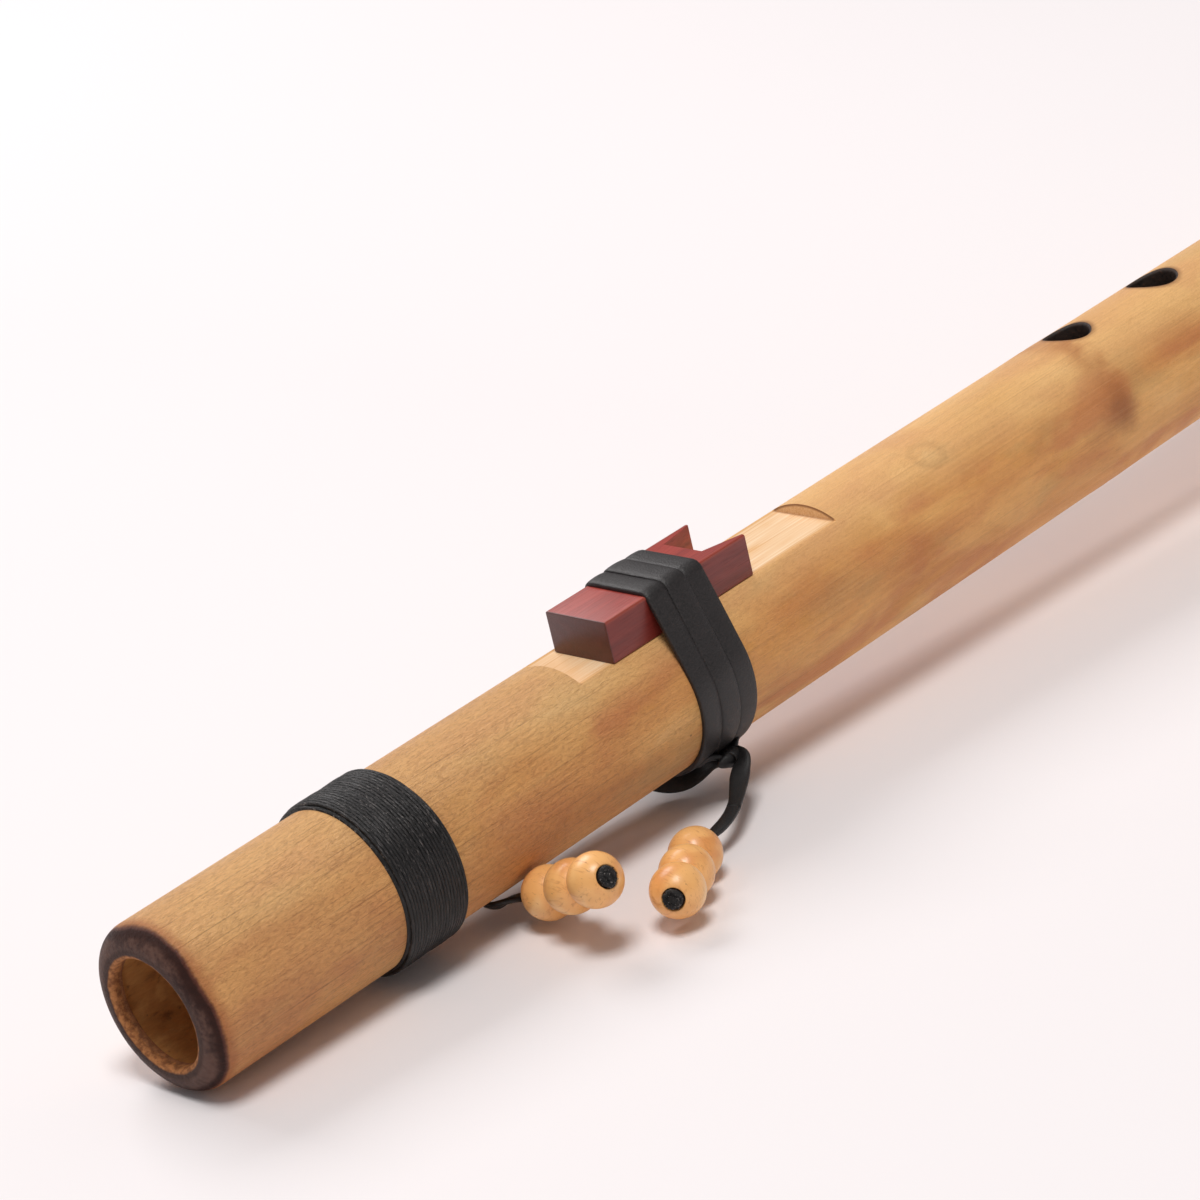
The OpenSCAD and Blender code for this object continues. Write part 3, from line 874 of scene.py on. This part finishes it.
def mouth_wrap(random):
    """One thread wound side by side round the tube, its turns a little uneven."""
    per_turn = 120
    count = WRAP_TURNS * per_turn
    pitch = (wrap_high.x - wrap_low.x) / (WRAP_TURNS + 0.3)
    thread_r = pitch * 0.56
    turn = np.linspace(0, WRAP_TURNS * 2 * math.pi, count)
    x = wrap_low.x + thread_r + turn / (2 * math.pi) * (wrap_high.x - wrap_low.x - 2 * thread_r) / WRAP_TURNS
    x = x + ripple(random, count, 90) * 0.06 * MM
    lay = wrap_high.z - thread_r * 1.05 + ripple(random, count, 160) * 0.06 * MM
    # both ends of the thread dive under the turns next to them
    from_end = np.minimum(turn, turn[-1] - turn)
    tuck = np.clip(1 - from_end / 1.1, 0, 1) ** 2
    lay = lay - tuck * 0.75 * MM
    x = x + np.where(turn < turn[-1] / 2, 1, -1) * tuck * 0.35 * MM
    thickness = thread_r * (1 - 0.55 * tuck) * (1 + ripple(random, count, 200) * 0.05)
    path = np.stack([x, lay * np.sin(turn), lay * np.cos(turn)], 1)
    rings = []
    sides = 10
    across = np.linspace(0, 2 * math.pi, sides, endpoint=False)
    for i in range(count):
        out = np.array([0, math.sin(turn[i]), math.cos(turn[i])])
        ring = path[i] + np.outer(thickness[i] * np.cos(across), out)
        ring[:, 0] += thickness[i] * np.sin(across)
        rings.append(ring)
    points, faces = capped_rings(rings)
    # dark ground under the strands, so that no skin shows between them
    base = []
    ends = [(wrap_low.x + 0.1 * MM, 0.0), (wrap_low.x + 0.12 * MM, 0.55), (wrap_high.x - 0.12 * MM, 0.55), (wrap_high.x - 0.1 * MM, 0.0)]
    ring_turn = np.linspace(0, 2 * math.pi, 128, endpoint=False)
    for at, rise in ends:
        r = TUBE_R - 0.1 * MM + rise * MM
        base.append(np.stack([np.full_like(ring_turn, at), r * np.sin(ring_turn), r * np.cos(ring_turn)], 1))
    ground = (np.asarray(base).reshape(-1, 3).tolist(), grid_faces(len(base), 128))
    piece = recalculated(new_piece("mouth_wrap_thread", *joined([(points, faces), ground]), [thread_material()]))
    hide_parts("mouth_wrap")
    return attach(piece, "flute")


# ---------------------------------------------------------------- block


def wooden_block():
    """The block: sawn, notched at its foot end, its edges eased by hand."""
    length = block_high.x - block_low.x
    half = (block_high.y - block_low.y) / 2
    centre = (block_high.y + block_low.y) / 2
    notch_len, notch_half, prong = 8.4 * MM, 4.9 * MM, 0.8 * MM
    shift = 0.6 * MM
    corner = length - notch_len
    plan = [(0, -half), (length, -half), (length, -half + prong), (corner, -notch_half + shift),
            (corner, notch_half + shift), (length, half - prong), (length, half), (0, half)]
    work = bmesh.new()
    low = [work.verts.new((block_low.x + x, centre + y, block_low.z)) for x, y in plan]
    face = work.faces.new(low)
    raised = bmesh.ops.extrude_face_region(work, geom=[face])
    top = [v for v in raised["geom"] if isinstance(v, bmesh.types.BMVert)]
    bmesh.ops.translate(work, verts=top, vec=(0, 0, block_high.z - block_low.z))
    bmesh.ops.recalc_face_normals(work, faces=work.faces)
    long_edges = [e for e in work.edges
                  if abs(e.verts[0].co.y - e.verts[1].co.y) < 1e-6 and abs(abs(e.verts[0].co.y - centre) - half) < 1e-6
                  and abs(e.verts[0].co.x - e.verts[1].co.x) > 1 * MM]
    bmesh.ops.bevel(work, geom=long_edges, offset=0.42 * MM, segments=3, profile=0.55, affect="EDGES")
    rest = [e for e in work.edges if len(e.link_faces) == 2 and e.calc_face_angle(0) > math.radians(40)]
    bmesh.ops.bevel(work, geom=rest, offset=0.16 * MM, segments=2, profile=0.6, affect="EDGES")
    mesh = bpy.data.meshes.new("block_wood")
    work.to_mesh(mesh)
    work.free()
    mesh.materials.append(red_wood_material())
    mesh.polygons.foreach_set("use_smooth", np.ones(len(mesh.polygons), bool))
    mark_sharp(mesh, 28)
    piece = bpy.data.objects.new("block_wood", mesh)
    bpy.context.scene.collection.objects.link(piece)
    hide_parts("block")
    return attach(piece, "block")


# ---------------------------------------------------------------- tie


def tie_path(gap, step):
    """Line round the tube and over the block, gap outside them, from the bottom up the -Y side and back. Y and Z."""
    edge = 1.25 * MM
    a = TUBE_R + gap
    b = edge + gap
    half = (block_high.y - block_low.y) / 2 - edge
    centre = (block_high.y + block_low.y) / 2
    near = np.array([centre - half, block_high.z - edge])
    far = np.array([centre + half, block_high.z - edge])

    def lean(corner, side):
        return math.atan2(corner[1], corner[0]) + side * math.acos((a - b) / np.linalg.norm(corner))

    def arc(middle, r, start, end):
        turn = np.linspace(start, end, max(5, int(abs(end - start) * r / step)))
        return [middle + r * np.array([math.cos(t), math.sin(t)]) for t in turn]

    near_lean, far_lean = lean(near, 1), lean(far, -1)
    bottom = 1.5 * math.pi
    points = arc(np.zeros(2), a, bottom, near_lean)
    points += arc(near, b, near_lean, math.pi / 2)
    points += arc(far, b, math.pi / 2, far_lean)
    points += arc(np.zeros(2), a, far_lean, -math.pi / 2)
    flat = np.array([(0, y, z) for y, z in points[:-1]])
    return even_path(np.vstack([flat, flat[:1]]), step)[:-1][:, 1:]


def leather_strap(random):
    """Three turns of flat lace side by side, the middle one lying on the edges of its neighbours."""
    width = (strap_high.x - strap_low.x) / STRAP_TURNS
    parts = []
    for i in (0, 2, 1):
        lift = MIDDLE_LIFT if i == 1 else 0.0
        thick = STRAP_THICK - 0.04 * MM
        line = tie_path(0.03 * MM + thick / 2 + lift, 0.8 * MM)
        count = len(line)
        wander = ripple(random, count, 4) * 0.16 * MM
        middle = strap_low.x + (i + 0.5) * width + wander * (1 if i == 1 else 0.4)
        swell = ripple(random, count, 9) * 0.05 * MM
        tangent = np.roll(line, -1, 0) - np.roll(line, 1, 0)
        tangent /= np.linalg.norm(tangent, axis=1)[:, None]
        outward = np.stack([-tangent[:, 1], tangent[:, 0]], 1)
        outward *= np.sign((outward * line).sum(1))[:, None]
        half_w = width / 2 + (0.22 * MM if i == 1 else 0.02 * MM) + ripple(random, count, 7) * 0.06 * MM
        half_t = thick / 2 + np.maximum(swell, 0) * 0.3
        section = [(-1, -0.9), (-1, -0.2), (-0.985, 0.25), (-0.94, 0.58), (-0.84, 0.82), (-0.5, 1.02), (0, 1.12), (0.5, 1.02),
                   (0.84, 0.82), (0.94, 0.58), (0.985, 0.25), (1, -0.2), (1, -0.9), (0.9, -1), (0, -1), (-0.9, -1)]
        rings = []
        for k in range(count):
            ring = []
            for u, v in section:
                y, z = line[k] + outward[k] * v * half_t[k]
                ring.append((middle[k] + u * half_w[k], y, z))
            rings.append(ring)
        sides = len(section)
        points = np.asarray(rings).reshape(-1, 3).tolist()
        faces = grid_faces(count, sides)
        last = (count - 1) * sides
        faces += [(last + j, last + (j + 1) % sides, (j + 1) % sides, j) for j in range(sides)]
        parts.append((points, faces))
    leather = leather_material("strap_leather", srgb(12, 9, 9), srgb(40, 34, 34), 3.0, 0.50)
    piece = recalculated(new_piece("strap_leather", *joined(parts), [leather], sharp=50))
    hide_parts("strap")
    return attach(piece, "flute")


# ---------------------------------------------------------------- lace, knots and tails


def knot_mesh(centre, axis, size, half_width, half_thick, squeeze=1.0):
    """A pulled-tight overhand knot: a strand that passes over and under itself three times."""
    t = np.linspace(0, 2 * math.pi, 84, endpoint=False)
    curve = np.stack([np.sin(t) + 2 * np.sin(2 * t), np.cos(t) - 2 * np.cos(2 * t), -1.9 * squeeze * np.sin(3 * t)], 1) * size / 3
    up = unit(axis)
    side = unit(np.cross(up, (0.3, 0.9, 0.2)))
    other = np.cross(up, side)
    path = np.asarray(centre) + curve @ np.stack([side, other, up])
    return sweep(path, up, half_width, half_thick, sides=12, closed=True)


LACE_HALF_WIDTH = 1.25 * MM
LACE_HALF_THICK = 0.58 * MM


def lace_material():
    return leather_material("lace_leather", srgb(8, 6, 6), srgb(25, 22, 22), 3.6, 0.5)


def knot_centres():
    """Middles of the two halves of the double knot under the tube."""
    radius = (knot_high.z - knot_low.z) / 2
    middle = np.array((knot_low + knot_high) / 2)
    reach = (knot_high.x - knot_low.x) / 2 - radius
    return middle - (reach, 0, 0), middle + (reach, 0, 0)


def tie_knot(random, lace):
    """The double knot under the tube that ends the tie, pulled tight against it."""
    first, second = knot_centres()
    radius = (knot_high.z - knot_low.z) / 2
    out = unit((0, first[1], first[2]))
    over = unit(np.cross(out, (1, 0, 0)))
    along = np.array([1.0, 0, 0])
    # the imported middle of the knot, waisted between its halves
    sides = 40
    turn = np.linspace(0, 2 * math.pi, sides, endpoint=False)
    core = []
    lumps = ripple(random, sides, 5) * 0.05
    for bend in np.linspace(-1, 1, 25):
        t = bend * math.pi / 2
        x = (second[0] - first[0]) / 2 * bend + (radius - 0.15 * MM) * math.sin(t) * abs(bend)
        r = (radius - 0.15 * MM) * max(math.cos(t), 0.05) ** 0.55 * (1 - 0.1 * math.exp(-(bend / 0.25) ** 2)) * (1 + lumps)
        core.append((first + second) / 2 + along * x + np.outer(r * np.cos(turn), out) + np.outer(r * np.sin(turn), over))
    parts = [capped_rings(core)]
    # a turn of lace drawn tight round it
    loop = np.linspace(0, 2 * math.pi, 64, endpoint=False)
    size = radius - 0.3 * MM
    ring = ((first + second) / 2 + np.outer(size * np.cos(loop), out) + np.outer(size * np.sin(loop), over)
            + np.outer(0.9 * MM * np.sin(loop + 0.6), along))
    parts.append(sweep(ring, along, 0.3 * MM, 1.1 * MM, sides=16, closed=True))
    # the last turn of the tie coming down into the knot at both of its ends
    for middle, reach in ((first, -3.4), (second, 3.0)):
        away = middle - out * (np.linalg.norm(middle[1:]) - TUBE_R - 0.55 * MM)
        path = bezier([away + along * reach * MM - over * 2.4 * MM, away + along * reach * 0.5 * MM,
                       middle - out * 1.2 * MM, middle - out * 0.5 * MM], np.linspace(0, 1, 20))
        parts.append(sweep(path, out, np.linspace(2.3, 0.9, 20) * MM, 0.55 * MM))
    piece = recalculated(new_piece("tie_knot_lace", *joined(parts), [lace]))
    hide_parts("tie_knot")
    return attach(piece, "flute")


def joint_point(name):
    return np.array(JOINTS[name]["pos_m"], float)


def joint_axis(name):
    return unit(JOINTS[name]["axis"])


def left_lace(random, lace):
    """The left tail: under the tube from the knot, then bent out to its beads."""
    centre, _ = knot_centres()
    bend = joint_point("left_tail_swing")
    row = joint_point("bead_left_rear_spin")
    along = joint_axis("bead_left_rear_spin")
    start = centre + unit((-0.45, 0.5, -0.75)) * 0.3 * MM
    first = bezier(np.array([start / MM, (132.5, -1.0, -17.2), (125, -3.5, -24.5), (121, 6, -16.6)]) * MM, np.linspace(0, 1, 50))
    second = bezier(np.array([(121, 6, -16.6), (113, 10.5, -14.2), (67.5, 6, -18.6), (70, -7.6, -15.5)]) * MM, np.linspace(0, 1, 90))
    third = bezier(np.array([(70, -7.6, -15.5), (70.8, -10.6, -13.6), (74.6, -10, -15.6), row / MM]) * MM, np.linspace(0, 1, 24))
    outgoing = [row + along * 1.5 * MM, row + along * 4 * MM]
    whole = smoothed(even_path(np.vstack([first, second[1:], third[1:], outgoing]), 0.6 * MM), 6)
    cut = int(np.argmin(np.linalg.norm(whole - second[-1], axis=1))) - 2
    count = len(whole)
    at = np.arange(count)
    stops = [0, count * 0.08, count * 0.22, count * 0.34, cut - 4, cut + 4, count - 5]
    taper = np.interp(at, stops, [0.6, 1.5, 1.95, 1.2, 1.2, 1.65, 1.1])
    wide = LACE_HALF_WIDTH * taper * (1 + ripple(random, count, 8) * 0.06)
    facing = (-0.6, -0.7, 0.39)
    points, faces = sweep(whole[:cut + 2], facing, wide[:cut + 2], LACE_HALF_THICK, hold=0.08)
    run_piece = recalculated(new_piece("lace_left_run_leather", points, faces, [lace]))
    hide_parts("lace_left_run")
    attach(run_piece, "flute")
    # the bend starts from the same section that the run ends with
    full = np.asarray(sweep(whole, facing, wide, LACE_HALF_THICK, hold=0.08)[0][:-2]).reshape(count, -1, 3)
    points, faces = capped_rings(full[cut:])
    bend_piece = recalculated(new_piece("lace_left_bend", points, faces, [lace]))
    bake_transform(bend_piece)
    knot = knot_mesh(row - along * 0.1 * MM, along, 0.95 * MM, 0.6 * MM, 0.45 * MM, squeeze=0.5)
    knot_piece = recalculated(new_piece("lace_left_stop_knot", *knot, [lace]))
    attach(knot_piece, "left_tail")


def right_lace(random, lace):
    """The right tail: out of the knot and down to a stopper knot behind its beads."""
    _, centre = knot_centres()
    root = joint_point("right_tail_swing")
    row = joint_point("bead_right_rear_spin")
    along = joint_axis("bead_right_rear_spin")
    loop = bezier([root, np.array([119.9, -20, -16.9]) * MM, np.array([116.2, -26.8, -16.6]) * MM, row], np.linspace(0, 1, 60))
    whole = smoothed(even_path(np.vstack([[centre], loop, [row + along * 1.5 * MM, row + along * 4 * MM]]), 0.6 * MM), 4)
    count = len(whole)
    at = np.arange(count)
    twist = np.interp(at, [0, count * 0.3, count * 0.62, count * 0.8, count - 1], [0.0, 0.1, 0.5, 0.8, 0.3])
    taper = np.interp(at, [0, count * 0.25, count * 0.5, count * 0.72, count * 0.84, count - 1], [1.4, 1.4, 1.1, 0.95, 0.66, 0.6])
    wide = LACE_HALF_WIDTH * taper * (1 + ripple(random, count, 8) * 0.06)
    full = np.asarray(sweep(whole, (-0.6, -0.7, 0.39), wide, LACE_HALF_THICK, twist, hold=0.3)[0][:-2]).reshape(count, -1, 3)
    middle = int(count * 0.5)
    pieces = (("lace_right_root", full[:middle + 2], "flute", "right_tail", root - (whole[12] - root) * 0.25, whole[12]),
              ("lace_right_bend", full[middle:], "right_tail", "right_tail_end", row - along * 3 * MM, row + along * 0.8 * MM))
    for name, rings, first, second, start, end in pieces:
        piece = recalculated(new_piece(name, *capped_rings(rings), [lace]))
        if first == "flute":
            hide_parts("lace_right_link")
        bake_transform(piece)
    knot = knot_mesh(row - along * 0.9 * MM, along, 1.2 * MM, 0.62 * MM, 0.45 * MM, squeeze=0.5)
    knot_piece = recalculated(new_piece("lace_right_stop_knot", *knot, [lace]))
    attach(knot_piece, "right_tail_end")


# ---------------------------------------------------------------- beads


def bead_profile(radius, hole, half):
    """Distance from the axis and height of the bead's half section, from the hole's front edge round to its back."""
    ease = 0.45 * MM
    edge = math.acos((half - 0.05 * MM) / radius)
    turns = np.linspace(edge, math.pi - edge, 33)
    outer = [(radius * math.sin(t), radius * math.cos(t)) for t in turns]
    lead = [(hole, half - ease), (hole + 0.08 * MM, half - ease * 0.35), (hole + 0.2 * MM, half - 0.04 * MM)]
    back = [(r, -z) for r, z in reversed(lead)]
    return lead + outer + back


def bead(name, side, material, random, seed):
    """A turned wooden bead on the lace, slightly out of round."""
    low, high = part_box(name)
    centre = np.array((low + high) / 2)
    along = joint_axis(f"{name}_spin")
    across = unit(np.cross(along, (0, 0, 1)))
    up = np.cross(across, along)
    radius, hole, half = 5.06 * MM, 2.0 * MM, 4.55 * MM
    sides = 64
    turn = np.linspace(0, 2 * math.pi, sides, endpoint=False)
    oval = 1 + 0.006 * np.cos(2 * turn + random.uniform(0, 6.3)) + 0.003 * np.cos(3 * turn)
    rings = []
    for r, z in bead_profile(radius, hole, half):
        swell = np.where(r > hole * 1.3, oval, 1.0)
        ring = centre + along * z + np.outer(r * swell * np.cos(turn), across) + np.outer(r * swell * np.sin(turn), up)
        rings.append(ring)
    count = len(rings)
    points = np.asarray(rings).reshape(-1, 3).tolist()
    faces = grid_faces(count, sides)
    last = (count - 1) * sides
    faces += [(last + j, last + (j + 1) % sides, (j + 1) % sides, j) for j in range(sides)]
    piece = recalculated(new_piece(f"{name}_wood", points, faces, [material], sharp=60))
    grain = piece.data.attributes.new("grain_seed", "FLOAT", "POINT")
    grain.data.foreach_set("value", np.full(len(points), seed, np.float32))
    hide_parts(name)
    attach(piece, name)
    return centre, along


def frayed_end(name, centre, along, body, random, material):
    """Where the lace comes out of the last bead: a rough plug with a brush of torn fibres."""
    across = unit(np.cross(along, (0, 0, 1)))
    up = np.cross(across, along)
    sides, rings = 28, []
    turn = np.linspace(0, 2 * math.pi, sides, endpoint=False)
    ragged = ripple(random, sides, 12) * 0.5
    start = centre + along * 1.5 * MM
    stand_out = 4.55 * MM - 1.5 * MM
    stand = stand_out / MM
    for r, z, rough in ((1.86, 0, 0), (1.82, stand - 0.45, 0.1), (1.8, stand + 0.05, 0.5), (1.84, stand + 0.4, 0.9),
                        (1.62, stand + 0.75, 1.2), (1.25, stand + 0.9, 1.4), (0.85, stand + 0.7, 1.4), (0.4, stand + 0.85, 0.8)):
        radius = (r + ragged * rough * 0.7) * MM
        height = (z + ripple(random, sides, 9) * 0.13 * rough) * MM
        ring = start + np.outer(height, along) + np.outer(radius * np.cos(turn), across) + np.outer(radius * np.sin(turn), up)
        rings.append(ring)
    parts = [capped_rings(rings)]
    for _ in range(170):
        angle, reach = random.uniform(0, 2 * math.pi), math.sqrt(random.uniform(0.02, 1.0)) * 1.5 * MM
        away = math.cos(angle) * across + math.sin(angle) * up
        foot = start + along * (stand_out + 0.4 * MM) + reach * away
        lean = unit(along + 0.4 * (random.normal() * across + random.normal() * up) + 0.1 * away)
        length = random.uniform(0.3, 0.7) * MM
        curl = unit(np.cross(lean, (0.3, 0.2, 1))) * length * random.uniform(-0.3, 0.3)
        steps = np.linspace(0, 1, 5)
        path = [foot + lean * length * s + curl * s * s for s in steps]
        parts.append(sweep(path, across + 0.1 * up, 0.15 * MM * (1 - 0.7 * steps), 0.09 * MM * (1 - 0.7 * steps), sides=6))
    piece = recalculated(new_piece(name, *joined(parts), [material]))
    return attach(piece, body)


def bead_rows(random):
    """Both rows of three beads and the lace ends that stand out of them."""
    wood, frayed = bead_material(), frayed_material()
    seed = 0.0
    for side, body in (("left", "left_tail"), ("right", "right_tail_end")):
        for which in ("rear", "mid", "front"):
            seed += 2.7
            centre, along = bead(f"bead_{side}_{which}", side, wood, random, seed)
        end = frayed_end(f"lace_{side}_frayed_end", centre, along, body, random, frayed)
        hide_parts(f"lace_{side}_end")


# ---------------------------------------------------------------- stage


def floor_height(x):
    """Height of the sheet: it carries the mouth rim, the right row of beads and the foot, and sags between them."""
    bead_low, bead_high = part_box("bead_right_rear")
    slope = (-TUBE_R - bead_low.z) / ((bead_low.x + bead_high.x) / 2)
    stops = [(-0.35, 0.0), (-0.15, -slope), (0.285, -slope), (TUBE_LEN - FOOT_ROUND, 0.11), (TUBE_LEN + 0.2, 0.0)]
    heights = [-TUBE_R + slope * 0.27, -TUBE_R + slope * 0.15, -TUBE_R - slope * 0.285, -TUBE_R, -TUBE_R + 10 * MM]
    height = np.where(x < stops[0][0], heights[0], heights[-1])
    for i in range(len(stops) - 1):
        (x0, m0), (x1, m1) = stops[i], stops[i + 1]
        t = (x - x0) / (x1 - x0)
        curve = ((2 * t**3 - 3 * t**2 + 1) * heights[i] + (t**3 - 2 * t**2 + t) * (x1 - x0) * m0
                 + (3 * t**2 - 2 * t**3) * heights[i + 1] + (t**3 - t**2) * (x1 - x0) * m1)
        height = np.where((t >= 0) & (t < 1), curve, height)
    return height - 0.05 * MM


def floor():
    """A wide pale sheet of paper that the flute lies on."""
    reach = 4.0
    near = np.linspace(-0.4, 0.7, 111)
    xs = np.concatenate([np.linspace(-reach, -0.5, 8), near, np.linspace(0.8, reach, 8)])
    ys = np.linspace(-reach, reach, 9)
    points = [(x, y, z) for x, z in zip(xs, floor_height(xs)) for y in ys]
    faces = grid_faces(len(xs), len(ys), wrap=False)
    sheet = new_piece("floor", points, [face[::-1] for face in faces], [floor_material()])


def area_light(name, place, target, size, power, colour):
    data = bpy.data.lights.new(name, "AREA")
    data.shape = "RECTANGLE"
    data.size, data.size_y = size
    data.energy = power
    data.color = colour
    lamp = bpy.data.objects.new(name, data)
    lamp.location = place
    lamp.rotation_euler = (Vector(target) - Vector(place)).to_track_quat("-Z", "Y").to_euler()
    bpy.context.scene.collection.objects.link(lamp)


def studio():
    """A soft light overhead, a wide weak one from behind, and a dim even surround."""
    middle = (0.14, 0, 0)
    area_light("key", (-0.14, -0.42, 1.58), middle, (0.55, 0.55), 15.8, (1.0, 0.985, 0.968))
    area_light("back", (0.38, 1.12, 1.10), middle, (1.0, 0.8), 12.6, (1.0, 0.975, 0.972))
    world = bpy.data.worlds.new("studio")
    world.use_nodes = True
    background = world.node_tree.nodes["Background"]
    background.inputs["Color"].default_value = (1.0, 0.96, 0.968, 1)
    background.inputs["Strength"].default_value = 0.25
    bpy.context.scene.world = world
    bpy.context.scene.view_settings.view_transform = "Standard"


def camera():
    """Looks down along the flute from its mouth end, tilted as a hand-held camera is."""
    place = Vector((-0.3023, -0.4850, 0.2937))
    heading, down, roll = math.radians(49.15), math.radians(22.98), math.radians(13.49)
    forward = Vector((math.cos(down) * math.cos(heading), math.cos(down) * math.sin(heading), -math.sin(down)))
    level = forward.cross(Vector((0, 0, 1))).normalized()
    upright = level.cross(forward)
    right = math.cos(roll) * level - math.sin(roll) * upright
    up = math.sin(roll) * level + math.cos(roll) * upright
    data = bpy.data.cameras.new("camera")
    data.sensor_width = 36
    data.lens = 114.29
    data.clip_start = 0.01
    body = bpy.data.objects.new("camera", data)
    body.matrix_world = Matrix.Translation(place) @ Matrix((right, up, -forward)).transposed().to_4x4()
    bpy.context.scene.collection.objects.link(body)
    bpy.context.scene.camera = body


# ---------------------------------------------------------------- build

draws = np.random.default_rng(SEED)
bamboo_tube(draws)
mouth_wrap(draws)
wooden_block()
leather_strap(draws)
lace_leather = lace_material()
tie_knot(draws, lace_leather)
left_lace(draws, lace_leather)
right_lace(draws, lace_leather)
bead_rows(draws)
floor()
studio()
camera()
